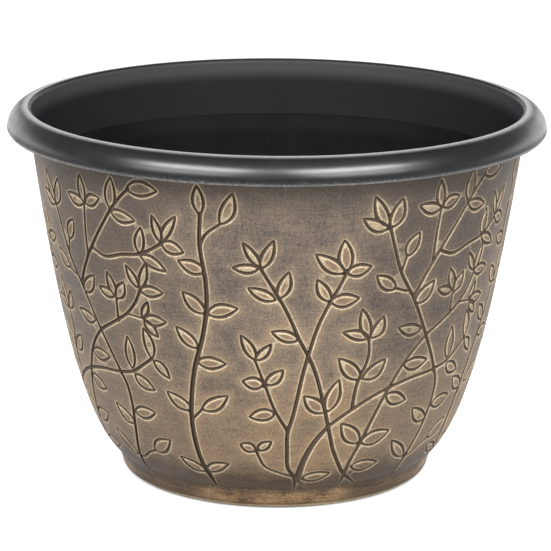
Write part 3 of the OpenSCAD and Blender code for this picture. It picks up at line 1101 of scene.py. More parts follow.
    def free_points(self, bearings: np.ndarray, levels: np.ndarray) -> np.ndarray:
        """Points of the plain ground between the grooves, and along the middle of each leaf.

        Args:
            bearings: Bearings of the mesh's columns.
            levels: Distances of its rows up the slope.

        Returns:
            The points, as bearings and distances up the slope.
        """
        step = bearings[1] - bearings[0]
        rows_made = []
        for index, rise in enumerate(levels[1:-1]):
            shift = step / 2 if index % 2 else 0.0
            row = bearings[1:-1] + shift - step / 4
            rows_made.append(np.column_stack([row, np.full(len(row), rise)]))
        points = np.concatenate(rows_made)
        edge = self.relief.nearest(points[:, 0], points[:, 1])[0]
        ground = points[edge > self.clear_of_groove]
        ribs = []
        for copy in self.relief.copies:
            for leaf in LEAVES:
                line = np.linspace(leaf.base, leaf.tip, self.leaf_stations)[1:-1]
                ribs.append(np.column_stack(self.pattern.place(line, copy)))
        ribs = np.concatenate(ribs)
        edge = self.relief.nearest(ribs[:, 0], ribs[:, 1])[0]
        inside = ribs[:, 0] > bearings[0] + self.border_turn
        inside &= ribs[:, 0] < bearings[-1] - self.border_turn
        return np.concatenate([ground, ribs[(edge > self.clear_in_leaf) & inside]])

    def plain_section(self) -> list[Point]:
        """Section of the rest of the shell, from the carved wall's top round to its lower edge.

        Returns:
            Its points, as radius and height.
        """
        form = self.form
        lap = form.wall - form.collar_wall
        top = np.linspace(self.pattern.high, form.seat, self.top_rows)
        thinned = np.linspace(form.seat, form.ledge, self.ledge_rows)
        eased = np.linspace(1, 0, self.inside_rows) ** self.inside_ease
        inside = form.foot_height + (form.ledge - form.foot_height) * eased
        middle, inner_round = (form.land_outer, form.foot_round), form.foot_round - form.wall
        section = rows(form.outer, top) + rows(lambda z: form.outer(z) - lap, thinned)
        section += rows(form.inner, inside)
        section += quarter(middle, (inner_round, inner_round), 0, -90, self.inner_foot_steps)
        section += [
            (form.land_inner + form.wall, form.wall),
            (form.flank_top + form.wall, form.floor_high),
            (form.flank_top, form.floor_low),
            (form.land_inner, 0.0),
        ]
        section += quarter(middle, (form.foot_round,) * 2, -90, 0, self.outer_foot_steps)
        section.append((float(form.outer(self.pattern.low)), self.pattern.low))
        return section

    def paint(self, mesh: bpy.types.Mesh) -> None:
        """Gives the outside the rubbed finish and the rest the bare plastic.

        Args:
            mesh: The shell's mesh.
        """
        for face in mesh.polygons:
            x, y, z = (value / MM for value in face.center)
            radius = math.hypot(x, y)
            outer = self.form.outer(min(max(z, self.form.foot_round), self.form.seat))
            outside = radius > outer - self.rubbed_reach and z > self.rubbed_low
            thinned = z > self.pattern.high and radius < outer - self.thinned_gap
            deep = z < self.form.foot_round and radius < self.form.land_outer + self.foot_gap
            face.material_index = (Coat.BARE if thinned or deep or not outside else Coat.RUBBED).value

    def shade(self, mesh: bpy.types.Mesh) -> None:
        """Smooths the faces, with crisp corners, and the relief's own normals on the carved wall.

        Args:
            mesh: The shell's mesh.
        """
        shade_smooth(mesh, CORNER_ANGLE)
        stored = np.zeros(len(mesh.vertices) * 3, np.float32)
        mesh.attributes["made_normal"].data.foreach_get("vector", stored)
        mesh.normals_split_custom_set_from_vertices(stored.reshape(-1, 3).tolist())
        mesh.attributes.remove(mesh.attributes["made_normal"])


@dataclass
class RolledRim:
    """The rim: collar, crest, roll and the lip that turns in to the shell."""

    form: PotForm
    segments: int = 240
    arc_steps: int = 20
    collar_rows: int = 8
    bevel_share: float = 0.3

    def build(self, finish: bpy.types.Material) -> bpy.types.Object:
        """Makes the rim's object with its finish.

        Args:
            finish: Its material.

        Returns:
            The rim's object.
        """
        mesh = lathe("rim_roll", self.section(), self.segments, closed=True)
        face_outwards(mesh)
        mesh.materials.clear()
        mesh.materials.append(finish)
        shade_smooth(mesh, CORNER_ANGLE)
        return as_object("rim_roll", mesh)

    def section(self) -> list[Point]:
        """Closed section of the rim, as radius and height.

        Returns:
            Its points.
        """
        form = self.form
        low = form.height - form.rim_depth
        edge = form.rim_radius - form.lip_tuck
        middle = (form.crest_radius, form.height - form.roll_drop)
        inner = (form.roll_width - form.roll_wall, form.roll_drop - form.roll_wall)
        crest_low = form.height - form.crest_round
        crest = (form.crest_radius, crest_low)
        crest_radii = (form.crest_radius - float(form.collar_inner(crest_low)), form.crest_round)
        collar = np.linspace(form.ledge + form.lap_gap, form.seat, self.collar_rows)
        eased = form.lip_bevel * self.bevel_share
        section = rows(form.collar_outer, collar)
        section += quarter(middle, inner, 90, 0, self.arc_steps // 2)
        section += [
            (edge - form.roll_wall, low + form.roll_wall),
            (float(form.outer(low + form.roll_wall)) + form.lip_gap, low + form.roll_wall),
            (float(form.outer(low)) + form.lip_gap, low),
            (edge - form.lip_bevel, low),
            (edge - eased, low + eased),
            (edge, low + form.lip_bevel),
        ]
        section += quarter(middle, (form.roll_width, form.roll_drop), 0, 90, self.arc_steps)
        section += quarter(crest, crest_radii, 90, 180, self.arc_steps // 2)[1:]
        inner_rows = np.linspace(crest_low, collar[0], self.collar_rows)
        section += rows(form.collar_inner, inner_rows[1:])
        return section


@dataclass
class DrainedFloor:
    """The raised floor with its ribs, the ring under its middle and the four drain seats."""

    form: PotForm
    segments: int = 240
    drain_segments: int = 64
    rib_count: int = 8
    rib_thickness: float = 2.0
    rib_depth: float = 5.0
    hub_radius: float = 15.0
    drain_count: int = 4
    drain_circle: float = 58.0
    drain_turn: float = 45.0
    bore: float = 11.0
    bore_wall: float = 3.0
    collar_low: float = 4.5
    recess: float = 15.3
    recess_low: float = 10.8
    overlap: float = 1.0
    rib_bite: float = 1.5

    def build(self, finish: bpy.types.Material) -> bpy.types.Object:
        """Makes the floor's object with its finish.

        Args:
            finish: Its material.

        Returns:
            The floor's object.
        """
        form = self.form
        values = {
            "Floor Radius Low": form.flank_top, "Floor Radius High": form.flank_top + form.wall,
            "Floor Low": form.floor_low, "Floor High": form.floor_high,
            "Rib Thickness": self.rib_thickness, "Rib Depth": self.rib_depth,
            "Rib Reach": form.flank_top + self.rib_bite, "Hub Radius": self.hub_radius,
            "Drain Circle": self.drain_circle, "Bore Radius": self.bore, "Bore Wall": self.bore_wall,
            "Collar Low": self.collar_low, "Recess Radius": self.recess, "Recess Low": self.recess_low,
            "Overlap": self.overlap,
        }
        numbers = {name: value * MM for name, value in values.items()}
        numbers.update({"Rib Count": self.rib_count, "Drain Count": self.drain_count})
        mesh = self.tree(finish).make("drain_floor", numbers)
        shade_smooth(mesh, CORNER_ANGLE)
        return as_object("drain_floor", mesh)

    def tree(self, finish: bpy.types.Material) -> ModelTree:
        """Builds the geometry nodes of the floor.

        Args:
            finish: Material that the tree sets on the floor.

        Returns:
            The tree, with its sizes as named inputs.
        """
        model = ModelTree("Drained Floor")
        wires = model.wires
        low, high = model.number("Floor Low"), model.number("Floor High")
        overlap = model.number("Overlap")
        disc = wires.node("GeometryNodeMeshCone", {
            "Vertices": self.segments, "Radius Top": model.number("Floor Radius High"),
            "Radius Bottom": model.number("Floor Radius Low"), "Depth": wires.math("SUBTRACT", high, low),
        })
        seats, bores = self.drains(model, low, high, overlap)
        ribs = self.ribs(model, low, overlap)
        solid = model.join([model.move(disc.outputs[0], 0.0, low), *ribs, *seats])
        model.close(model.cut(solid, bores), finish)
        return model

    def ribs(self, model: ModelTree, low: Any, overlap: Any) -> list[Any]:
        """Lays out the ribs and the ring under the floor's middle.

        Args:
            model: The floor's tree.
            low: Height of the floor's underside.
            overlap: How far they reach up into the floor.

        Returns:
            The ribs and the ring.
        """
        wires = model.wires
        depth, thick = model.number("Rib Depth"), model.number("Rib Thickness")
        hub, reach = model.number("Hub Radius"), model.number("Rib Reach")
        height = wires.math("ADD", depth, overlap)
        bottom = wires.math("SUBTRACT", low, depth)
        start = wires.math("SUBTRACT", hub, wires.times(thick, 0.5))
        size = model.vector(wires.math("SUBTRACT", reach, start), thick, height)
        rib = wires.node("GeometryNodeMeshCube", {"Size": size}).outputs[0]
        middle = wires.times(wires.math("ADD", reach, start), 0.5)
        centre = wires.math("ADD", bottom, wires.times(height, 0.5))
        ribs = model.round_the_axis(rib, model.number("Rib Count", whole=True), middle, centre, 0.0)
        outer = model.drum(hub, bottom, height, self.drain_segments)
        bore, under = wires.math("SUBTRACT", hub, thick), wires.math("SUBTRACT", bottom, overlap)
        return [ribs, model.cut(outer, [model.drum(bore, under, height, self.drain_segments)])]

    def drains(self, model: ModelTree, low: Any, high: Any, overlap: Any) -> tuple[list[Any], list[Any]]:
        """Lays out the drains.

        Args:
            model: The floor's tree.
            low: Height of the floor's underside.
            high: Height of the floor's top.
            overlap: How far the bores reach past the plastic.

        Returns:
            The collars and seats, and the bores and recesses to cut through them.
        """
        wires = model.wires
        count, circle = model.number("Drain Count", whole=True), model.number("Drain Circle")
        bore, wall = model.number("Bore Radius"), model.number("Bore Wall")
        collar_low, recess_low = model.number("Collar Low"), model.number("Recess Low")
        recess = model.number("Recess Radius")
        middle, top = wires.times(wires.math("ADD", low, high), 0.5), wires.math("ADD", high, overlap)
        made = []
        for radius, bottom, end in (
            (wires.math("ADD", bore, wall), collar_low, middle),
            (wires.math("ADD", recess, wall), wires.math("SUBTRACT", recess_low, wall), middle),
            (bore, wires.math("SUBTRACT", collar_low, overlap), top),
            (recess, recess_low, top),
        ):
            drum = model.drum(radius, bottom, wires.math("SUBTRACT", end, bottom), self.drain_segments)
            made.append(model.round_the_axis(drum, count, circle, 0.0, self.drain_turn))
        return made[:2], made[2:]


@dataclass
class DrainPlug:
    """A push-in plug with a finger bar between two pockets, which lies in a drain's seat."""

    head_radius: float = 15.0
    head_low: float = 10.8
    head_high: float = 12.8
    shank_radius: float = 10.92
    shank_low: float = 5.0
    shank_bevel: float = 0.8
    head_edge: float = 0.5
    pocket_depth: float = 4.5
    pocket_radius: float = 8.72
    pocket_clearance: float = 1.0
    bar_width: float = 4.0
    weld: float = 0.01
    corner_angle: float = 30.0
    segments: int = 64
    pocket_segments: int = 48
    edge_steps: int = 4

    def build(self, number: int, seat: Matrix, finish: bpy.types.Material) -> bpy.types.Object:
        """Makes one plug in its seat.

        Args:
            number: The plug's number, from 1.
            seat: Place and turn of the drain that it closes.
            finish: Its material.

        Returns:
            The plug's object.
        """
        turned = lathe("plug_blank", self.section(), self.segments, closed=False)
        blank = join_meshes("plug_blank", [turned], self.weld * MM)
        values = {
            "Pocket Radius": self.pocket_radius * MM,
            "Pocket Low": (self.head_high - self.pocket_depth) * MM,
            "Pocket High": (self.head_high + self.pocket_clearance) * MM,
            "Bar Width": self.bar_width * MM,
        }
        mesh = self.tree(finish).make(f"plug_{number}_cap", values, blank)
        mesh.transform(seat)
        shade_smooth(mesh, self.corner_angle)
        return as_object(f"plug_{number}_cap", mesh)

    def section(self) -> list[Point]:
        """Section of the plug before its pockets are cut.

        Returns:
            Its points, as radius and height.
        """
        edge = self.head_edge
        top = (self.head_radius - edge, self.head_high - edge)
        return [
            (0.0, self.shank_low),
            (self.shank_radius - self.shank_bevel, self.shank_low),
            (self.shank_radius, self.shank_low + self.shank_bevel),
            (self.shank_radius, self.head_low),
            (self.head_radius, self.head_low),
            *quarter(top, (edge, edge), 0, 90, self.edge_steps),
            (0.0, self.head_high),
        ]

    def tree(self, finish: bpy.types.Material) -> ModelTree:
        """Builds the geometry nodes that cut the finger pockets.

        Args:
            finish: Material that the tree sets on the plug.

        Returns:
            The tree, with its sizes as named inputs.
        """
        model = ModelTree("Finger Pockets", takes_mesh=True)
        wires = model.wires
        low, high = model.number("Pocket Low"), model.number("Pocket High")
        rise = wires.math("SUBTRACT", high, low)
        middle = wires.times(wires.math("ADD", low, high), 0.5)
        radius = model.number("Pocket Radius")
        sockets = {"Vertices": self.pocket_segments, "Radius": radius, "Depth": rise}
        drum = wires.node("GeometryNodeMeshCylinder", sockets).outputs[0]
        size = model.vector(wires.times(radius, 3.0), model.number("Bar Width"), wires.times(rise, 2.0))
        bar = wires.node("GeometryNodeMeshCube", {"Size": size}).outputs[0]
        pockets = model.move(model.cut(drum, [bar]), 0.0, middle)
        model.close(model.cut(model.source.outputs[0], [pockets]), finish)
        return model


# Mesh helpers


def split_runs(line: np.ndarray, kept: np.ndarray) -> list[np.ndarray]:
    """Cuts a line where its points aren't kept, and returns the runs of two points or more.

    Args:
        line: The points.
        kept: Whether each point is kept.

    Returns:
        The runs.
    """
    runs, start = [], None
    for index, keep in enumerate(list(kept) + [False]):
        if keep and start is None:
            start = index
        elif not keep and start is not None:
            if index - start > 1:
                runs.append(line[start:index])
            start = None
    return runs


def join_meshes(name: str, meshes: Sequence[bpy.types.Mesh], weld: float) -> bpy.types.Mesh:
    """Joins meshes into one, welds points that meet and turns the faces outwards.

    Args:
        name: Name of the new mesh.
        meshes: The meshes, which are used up.
        weld: Distance within which points become one, in metres.

    Returns:
        The joined mesh.
    """
    shape = bmesh.new()
    for mesh in meshes:
        shape.from_mesh(mesh)
    bmesh.ops.remove_doubles(shape, verts=shape.verts, dist=weld)
    bmesh.ops.dissolve_degenerate(shape, edges=shape.edges, dist=weld / 4)
    bmesh.ops.recalc_face_normals(shape, faces=shape.faces)
    made = bpy.data.meshes.new(name)
    shape.to_mesh(made)
    shape.free()
    return made


def face_outwards(mesh: bpy.types.Mesh) -> None:
    """Turns the faces of a closed mesh outwards.

    Args:
        mesh: The mesh, which is changed.
    """
    shape = bmesh.new()
    shape.from_mesh(mesh)
    bmesh.ops.recalc_face_normals(shape, faces=shape.faces)
    shape.to_mesh(mesh)
    shape.free()


def shade_smooth(mesh: bpy.types.Mesh, corner: float) -> None:
    """Shades a mesh smooth, with crisp edges where faces turn by more than an angle in degrees."""
    mesh.polygons.foreach_set("use_smooth", [True] * len(mesh.polygons))
    mesh.set_sharp_from_angle(angle=math.radians(corner))


def as_object(name: str, mesh: bpy.types.Mesh) -> bpy.types.Object:
    """Puts a mesh into the scene under a name.

    Args:
        name: Name of the object and of its mesh.
        mesh: The mesh.

    Returns:
        The object.
    """
    mesh.name = name
    made = bpy.data.objects.new(name, mesh)
    bpy.context.scene.collection.objects.link(made)
    return made


# Finishes


def place_group() -> bpy.types.NodeTree:
    """Group that gives each point's radius from the pot's axis and its height, in millimetres.

    Its third output, Quarter, is 1 at the front, the back and the sides and 0 halfway between them.

    Returns:
        The group.
    """
    tree = bpy.data.node_groups.new("Pot Place", "ShaderNodeTree")
    for name in ("Radius", "Height", "Quarter"):
        tree.interface.new_socket(name, in_out="OUTPUT", socket_type="NodeSocketFloat")
    wires = Wiring(tree)
    sink = tree.nodes.new("NodeGroupOutput")
    split = wires.node("ShaderNodeSeparateXYZ", {0: wires.node("ShaderNodeTexCoord").outputs["Object"]})
    across, deep = split.outputs[0], split.outputs[1]
    square = wires.math("ADD", wires.times(across, across), wires.times(deep, deep))
    tree.links.new(wires.times(wires.math("SQRT", square), 1 / MM), sink.inputs["Radius"])
    tree.links.new(wires.times(split.outputs[2], 1 / MM), sink.inputs["Height"])
    swing = wires.math("COSINE", wires.times(wires.math("ARCTAN2", deep, across), QUARTERS))
    tree.links.new(wires.band(swing, -1.0, 1.0), sink.inputs["Quarter"])
    return tree


def grain_group() -> bpy.types.NodeTree:
    """Group that gives the grain of moulded and rubbed plastic.

    Its outputs are fine speckle, upright strokes, level strokes, patches of a thumb's width and
    slow clouds, each about 0.5 on average, and a height for bump.

    Returns:
        The group.
    """
    tree = bpy.data.node_groups.new("Rubbed Grain", "ShaderNodeTree")
    for name in ("Speckle Scale", "Stroke Scale", "Patch Scale", "Cloud Scale"):
        tree.interface.new_socket(name, in_out="INPUT", socket_type="NodeSocketFloat")
    for name in ("Speckle", "Upright", "Level", "Patch", "Cloud", "Height"):
        tree.interface.new_socket(name, in_out="OUTPUT", socket_type="NodeSocketFloat")
    wires = Wiring(tree)
    source = tree.nodes.new("NodeGroupInput")
    sink = tree.nodes.new("NodeGroupOutput")
    place = wires.node("ShaderNodeTexCoord").outputs["Object"]
    fine, stroke = source.outputs["Speckle Scale"], source.outputs["Stroke Scale"]
    made = {
        "Speckle": wires.noise(place, fine, 2.0, 0.6),
        "Upright": wires.noise(wires.stretched(place, (1.0, 1.0, 0.1)), stroke, 3.0, 0.6),
        "Level": wires.noise(wires.stretched(place, (0.08, 0.08, 1.0)), stroke, 3.0, 0.6),
        "Patch": wires.noise(place, source.outputs["Patch Scale"], 3.0, 0.55),
        "Cloud": wires.noise(place, source.outputs["Cloud Scale"], 3.0, 0.5),
    }
    made["Height"] = wires.math("ADD", made["Speckle"], wires.times(made["Upright"], 0.5))
    for name, value in made.items():
        tree.links.new(value, sink.inputs[name])
    return tree


@dataclass(frozen=True)
class Finish:
    """What every finish of the planter has in common."""

    name: str
    roughness: float
    gloss: float
    bump: float
    speckle_scale: float
    stroke_scale: float
    patch_scale: float
    cloud_scale: float

    def start(self, groups: dict[str, bpy.types.NodeTree]) -> tuple[Any, Wiring, Any]:
        """Makes the material with its grain.

        Args:
            groups: The shader groups, by name.

        Returns:
            The material, its wiring and the grain node.
        """
        material = bpy.data.materials.new(self.name)
        material.use_nodes = True
        wires = Wiring(material.node_tree)
        grain = wires.node("ShaderNodeGroup", node_tree=groups["grain"])
        for kind in ("speckle", "stroke", "patch", "cloud"):
            grain.inputs[f"{kind.title()} Scale"].default_value = getattr(self, f"{kind}_scale")
        return material, wires, grain

    def close(self, material: Any, wires: Wiring, grain: Any, values: dict[str, Any]) -> Any:
        """Joins what the nodes made to the material's own shader.

        Args:
            material: The material.
            wires: Its wiring.
            grain: The grain node, which gives the bump's height.
            values: Sockets for the shader's inputs, by name.

        Returns:
            The material.
        """
        shader = material.node_tree.nodes["Principled BSDF"]
        shader.inputs["Specular IOR Level"].default_value = self.gloss
        for name, value in values.items():
            wires.tree.links.new(value, shader.inputs[name])
        sockets = {"Strength": self.bump, "Distance": BUMP_DEPTH * MM, "Height": grain.outputs["Height"]}
        bump = wires.node("ShaderNodeBump", sockets)
        wires.tree.links.new(bump.outputs[0], shader.inputs["Normal"])
        return material


@dataclass(frozen=True)
class RubbedBronze(Finish):
    """Dark plastic rubbed with bronze and gold, which the grooves keep out.

    Ramps that end in height go by the height above the ground, those that end in edge by the
    distance from a groove's edge, both in millimetres, and those that end in quarter by the bearing:
    they paint shade onto the wall halfway between the front and the sides. Both of lower_right go by
    the side of a groove, leaf_inside by the mark inside each leaf, and the others by the grain.
    """

    name: str = "rubbed_bronze"
    roughness: float = 0.5
    gloss: float = 0.18
    bump: float = 0.2
    speckle_scale: float = 1000.0
    stroke_scale: float = 650.0
    patch_scale: float = 60.0
    cloud_scale: float = 12.0
    groove_roughness: float = 0.1
    speckle: Ramp = (0.3, 0.7, 0.8, 1.2)
    # Ground between the twigs
    deep: Color = srgb(99, 90, 84)
    dim: Color = srgb(82, 74, 69)
    ground: Color = srgb(126, 113, 101)
    warm: Color = srgb(147, 129, 111)
    glow: Color = srgb(176, 151, 122)
    # Warmer rub low on the wall, with painted bounce light from the floor.
    low_rub_and_bounce: Color = srgb(180, 149, 113)
    ground_tone: Ramp = (0.0, 0.6)
    warm_tone: Ramp = (0.4, 1.0)
    glow_tone: Ramp = (0.0, 0.9, 0.25, 0.9)
    glow_edge: Ramp = (7.0, 0.3)
    glow_height: Ramp = (220, 130, 0.6, 1.0)
    glow_quarter: Ramp = (0.0, 0.8, 0.5, 0.92)
    low_rub_and_bounce_tone: Ramp = (-0.1, 0.8, 0.15, 0.6)
    low_rub_and_bounce_height: Ramp = (130, 55)
    dim_quarter: Ramp = (0.7, 0.0)
    dim_height: Ramp = (90, 230, 0.1, 0.65)
    # Painted shade under the rim, and a painted shadow under its lip.
    under_rim_shade_height: Ramp = (210, 242, 0.0, 0.5)
    lip_shadow_height: Ramp = (241, 247, 0.0, 0.7)
    # Dark belt above the foot: painted shade where the wall turns under
    shadow: Color = srgb(64, 51, 40)
    shadow_pale: Color = srgb(88, 73, 59)
    belt_tone: Ramp = (0.1, 0.9)
    belt_height: Ramp = (52, 30)
    belt_ragged: float = 16.0
    belt_share: float = 0.9
    belt_shade_on_marks: float = 0.35
    # Leaves and the cream line beside the grooves
    cream: Color = srgb(242, 222, 186)
    leaf_rim: Color = srgb(216, 192, 156)
    leaf_middle: Color = srgb(148, 124, 102)
    leaf_quarter: Ramp = (0.0, 0.8, 0.45, 1.0)
    leaf_height: Ramp = (150, 240, 1.0, 0.75)
    leaf_rim_edge: Ramp = (0.5, 1.7)
    leaf_edge: Ramp = (0.0, 0.5)
    leaf_rim_patch: Ramp = (0.5, 1.2, 0.0, 0.3)
    leaf_patch: Ramp = (-0.1, 0.7, 0.45, 0.9)
    leaf_inside: Ramp = (0.3, 0.8)
    line_height: Ramp = (15, 30, 0.3, 1.0)
    line_near_edge: Ramp = (-0.15, 0.2)
    line_far_edge: Ramp = (1.3, 0.4)
    line_worn: Ramp = (0.1, 0.8, 0.45, 1.0)
    # Painted shade: the cream line is weaker on a groove's upper left side than on its lit lower right.
    line_upper_left: float = 0.5
    # Grooves: the dark plastic, with painted shade on each upper left wall and painted light on each
    # lower right wall
    groove_dark: Color = srgb(48, 36, 26)
    groove_pale: Color = srgb(104, 89, 75)
    lower_right: Ramp = (-0.8, 0.8)
    lower_right_wall: Ramp = (0.2, 0.85)
    groove_bottom_edge: Ramp = (-0.8, -1.4, 0.0, 0.5)
    groove_edge: Ramp = (0.05, -0.3)
    groove_rough_edge: Ramp = (0.2, -0.4)
    # Foot
    copper_dark: Color = srgb(92, 72, 53)
    copper: Color = srgb(158, 128, 96)
    copper_pale: Color = srgb(200, 168, 132)
    foot_edge: Color = srgb(226, 208, 172)
    copper_tone: Ramp = (0.0, 0.6)
    copper_pale_tone: Ramp = (0.5, 1.1)
    copper_height: Ramp = (15.0, 5.0)
    copper_ragged: float = -5.0
    copper_quarter: Ramp = (0.05, 0.6, 0.3, 1.0)
    copper_cover: Ramp = (-0.3, 0.5, 0.45, 1.0)
    copper_dark_height: Ramp = (6.0, 4.4, 0.0, 0.6)
    foot_edge_height: Ramp = (3.8, 3.0)
    foot_edge_cover: Ramp = (0.0, 1.0, 0.35, 0.75)

    def build(self, groups: dict[str, bpy.types.NodeTree]) -> bpy.types.Material:
        """Makes the material.

        Args:
            groups: The shader groups, by name.

        Returns:
            The material.
        """
        material, wires, grain = self.start(groups)
        place = wires.node("ShaderNodeGroup", node_tree=groups["place"]).outputs
        # Quarter paints light and shade by bearing: shade halfway between the front and the sides.
        height, painted_side_light = place["Height"], place["Quarter"]
        edge, leaf = wires.attribute("groove_edge"), wires.attribute("inside_leaf")
        side = wires.band(wires.attribute("lower_right"), *self.lower_right)
        color = self.plain_ground(wires, grain, edge, height, painted_side_light)
        color, lit = self.belt(wires, grain, height, color)
        # The leaves are painted paler halfway between the front and the sides, as painted shade.
        fill = wires.times(
            lit, wires.band(painted_side_light, *self.leaf_quarter), wires.band(height, *self.leaf_height)
        )
        line = wires.times(lit, wires.band(height, *self.line_height))
        color = self.leaves(wires, grain, edge, leaf, fill, color)
        color = self.beside_grooves(wires, grain, edge, side, line, color)
        color = self.in_grooves(wires, edge, side, color)
        color = self.foot(wires, grain, height, painted_side_light, color)
        color = wires.mix(1.0, color, wires.band(grain.outputs["Speckle"], *self.speckle), "MULTIPLY")
        rough = wires.band(
            edge, *self.groove_rough_edge, self.roughness, self.roughness + self.groove_roughness
        )
        return self.close(material, wires, grain, {"Base Color": color, "Roughness": rough})

    def plain_ground(self, wires: Wiring, grain: Any, edge: Any, height: Any, painted_side_light: Any) -> Any:
        """Colours the ground between the twigs.

        Args:
            wires: Wiring of the material.
            grain: The grain node.
            edge: Distance to the nearest groove's edge.
            height: Height above the ground.
            painted_side_light: 1 at the front, back and sides, 0 halfway between, where shade is painted
                on.

        Returns:
            The colour: greyer in patches, warmer round the twigs and low down, with painted shade under
                the
            rim and halfway between the front and the sides, and painted bounce light low on the wall.
        """
        tone = wires.weigh(
            grain, {"Speckle": 1.0, "Upright": 0.8, "Level": 0.9, "Patch": 0.8, "Cloud": 1.1}
        )
        color = wires.mix(wires.band(tone, *self.ground_tone), self.deep, self.ground)
        color = wires.mix(wires.band(tone, *self.warm_tone), color, self.warm)
        cover = wires.weigh(grain, {"Upright": 0.7, "Level": 0.7, "Patch": 0.9, "Cloud": 0.9})
        # Painted side light: the glow is painted strongest at the front, the back and the sides.
        most = wires.band(painted_side_light, *self.glow_quarter)
        glow = wires.times(
            wires.band(edge, *self.glow_edge), wires.band(cover, *self.glow_tone),
            wires.band(height, *self.glow_height), most,
        )
        color = wires.mix(glow, color, self.glow)
        # Low on the wall: warmer rub and painted bounce light from the floor, strongest where the side
        # light is.
        low = wires.times(
            wires.band(height, *self.low_rub_and_bounce_height), wires.band(cover, *self.low_rub_and_bounce_tone), most
        )
        color = wires.mix(low, color, self.low_rub_and_bounce)
        # Painted side shade: the dim colour, high on the wall halfway between the front and the sides.
        least = wires.times(wires.band(painted_side_light, *self.dim_quarter), wires.band(height, *self.dim_height))
        color = wires.mix(least, color, self.dim)
        # Painted shade under the rim, in the deep colour.
        color = wires.mix(wires.band(height, *self.under_rim_shade_height), color, self.deep)
        # Painted shadow under the rim's lip, in the shadow colour.
        return wires.mix(wires.band(height, *self.lip_shadow_height), color, self.shadow)

    def belt(self, wires: Wiring, grain: Any, height: Any, color: Any) -> tuple[Any, Any]:
        """Paints shade onto the ragged belt above the foot, where the wall turns under.

        Args:
            wires: Wiring of the material.
            grain: The grain node.
            height: Height above the ground.
            color: Colour of the wall.

        Returns:
            The colour with the belt's painted shade, and the share of the pale lines and leaves that it
            leaves there.
        """
        ragged = wires.math("ADD", height, wires.times(grain.outputs["Patch"], self.belt_ragged))
        belt = wires.band(ragged, *self.belt_height)
        brushed = wires.weigh(grain, {"Level": 1.2, "Speckle": 0.8, "Patch": 0.6})
        dark = wires.mix(wires.band(brushed, *self.belt_tone), self.shadow, self.shadow_pale)
        # The belt's painted shade also dims the pale lines and the leaves.
        lit = wires.math("SUBTRACT", 1.0, wires.times(belt, self.belt_shade_on_marks))
        return wires.mix(wires.times(belt, self.belt_share), color, dark), lit

    def foot(self, wires: Wiring, grain: Any, height: Any, painted_side_light: Any, color: Any) -> Any:
        """Adds the copper of the foot.

        Args:
            wires: Wiring of the material.
            grain: The grain node.
            height: Height above the ground.
            painted_side_light: 1 at the front, back and sides, 0 halfway between, where the copper is
                painted darker as shade.
            color: Colour of the wall.

        Returns:
            The colour with the foot, which is blotchy and has a paler lower edge.
        """
        blotch = wires.weigh(grain, {"Level": 1.3, "Patch": 1.6, "Speckle": 0.8, "Cloud": 0.9})
        metal = wires.mix(wires.band(blotch, *self.copper_tone), self.copper_dark, self.copper)
        metal = wires.mix(wires.band(blotch, *self.copper_pale_tone), metal, self.copper_pale)
        ragged = wires.math("ADD", height, wires.times(blotch, self.copper_ragged))
        # The copper is painted darker halfway between the front and the sides, as painted shade.
        share = wires.times(
            wires.band(ragged, *self.copper_height), wires.band(painted_side_light, *self.copper_quarter),
            wires.band(blotch, *self.copper_cover),
        )
        color = wires.mix(share, color, metal)
        color = wires.mix(wires.band(height, *self.copper_dark_height), color, self.copper_dark)
        pale = wires.times(
            wires.band(height, *self.foot_edge_height), wires.band(blotch, *self.foot_edge_cover)
        )
        return wires.mix(pale, color, self.foot_edge)

    def beside_grooves(
        self, wires: Wiring, grain: Any, edge: Any, side: Any, lit: Any, color: Any
    ) -> Any:
        """Adds the cream line that the rubbing leaves beside each groove.

        Args:
            wires: Wiring of the material.
            grain: The grain node.
            edge: Distance to the nearest groove's edge.
            side: 1 to the lower right of a groove, where the line is painted stronger as lit, and 0 to
                its upper left.
            lit: Share of the line that is left at each height.
            color: Colour of the ground.

        Returns:
            The colour with the line.
        """
        worn = wires.weigh(grain, {"Patch": 1.2, "Speckle": 1.0, "Cloud": 0.8})
        # Painted light and shade: the line is stronger on a groove's lower right side than on its upper
        # left.
        least = self.line_upper_left
        share = wires.times(
            wires.band(edge, *self.line_near_edge), wires.band(edge, *self.line_far_edge),
            wires.band(worn, *self.line_worn),
            wires.math("ADD", wires.times(side, 1 - least), least), lit,
        )
        return wires.mix(share, color, self.cream)

    def leaves(self, wires: Wiring, grain: Any, edge: Any, leaf: Any, lit: Any, color: Any) -> Any:
        """Colours the raised middle of each leaf and its pale border.

        Args:
            wires: Wiring of the material.
            grain: The grain node.
            edge: Distance to the nearest groove's edge.
            leaf: 1 inside a leaf.
            lit: Share of the leaves' colour that is left at each point.
            color: Colour of the ground.

        Returns:
            The colour with the leaves.
        """
        patch = wires.weigh(grain, {"Speckle": 1.4, "Patch": 0.8, "Cloud": 0.8})
        fill = wires.mix(wires.band(edge, *self.leaf_rim_edge), self.leaf_rim, self.leaf_middle)
        fill = wires.mix(wires.band(patch, *self.leaf_rim_patch), fill, self.leaf_rim)
        share = wires.times(
            wires.band(leaf, *self.leaf_inside), wires.band(edge, *self.leaf_edge),
            wires.band(patch, *self.leaf_patch), lit,
        )
        return wires.mix(share, color, fill)

    def in_grooves(self, wires: Wiring, edge: Any, side: Any, color: Any) -> Any:
        """Darkens each groove, with painted shade on its upper left wall and painted light that leaves
        its lower right wall paler.

        Args:
            wires: Wiring of the material.
            edge: Distance to the nearest groove's edge.
            side: 1 to the lower right of a groove and 0 to its upper left.
            color: Colour of the wall.

        Returns:
            The colour with the grooves.
        """
        # Painted shade on the upper left wall, painted light on the lower right wall.
        wall = wires.mix(wires.band(side, *self.lower_right_wall), self.groove_dark, self.groove_pale)
        wall = wires.mix(wires.band(edge, *self.groove_bottom_edge), wall, self.groove_pale)
        return wires.mix(wires.band(edge, *self.groove_edge), color, wall)


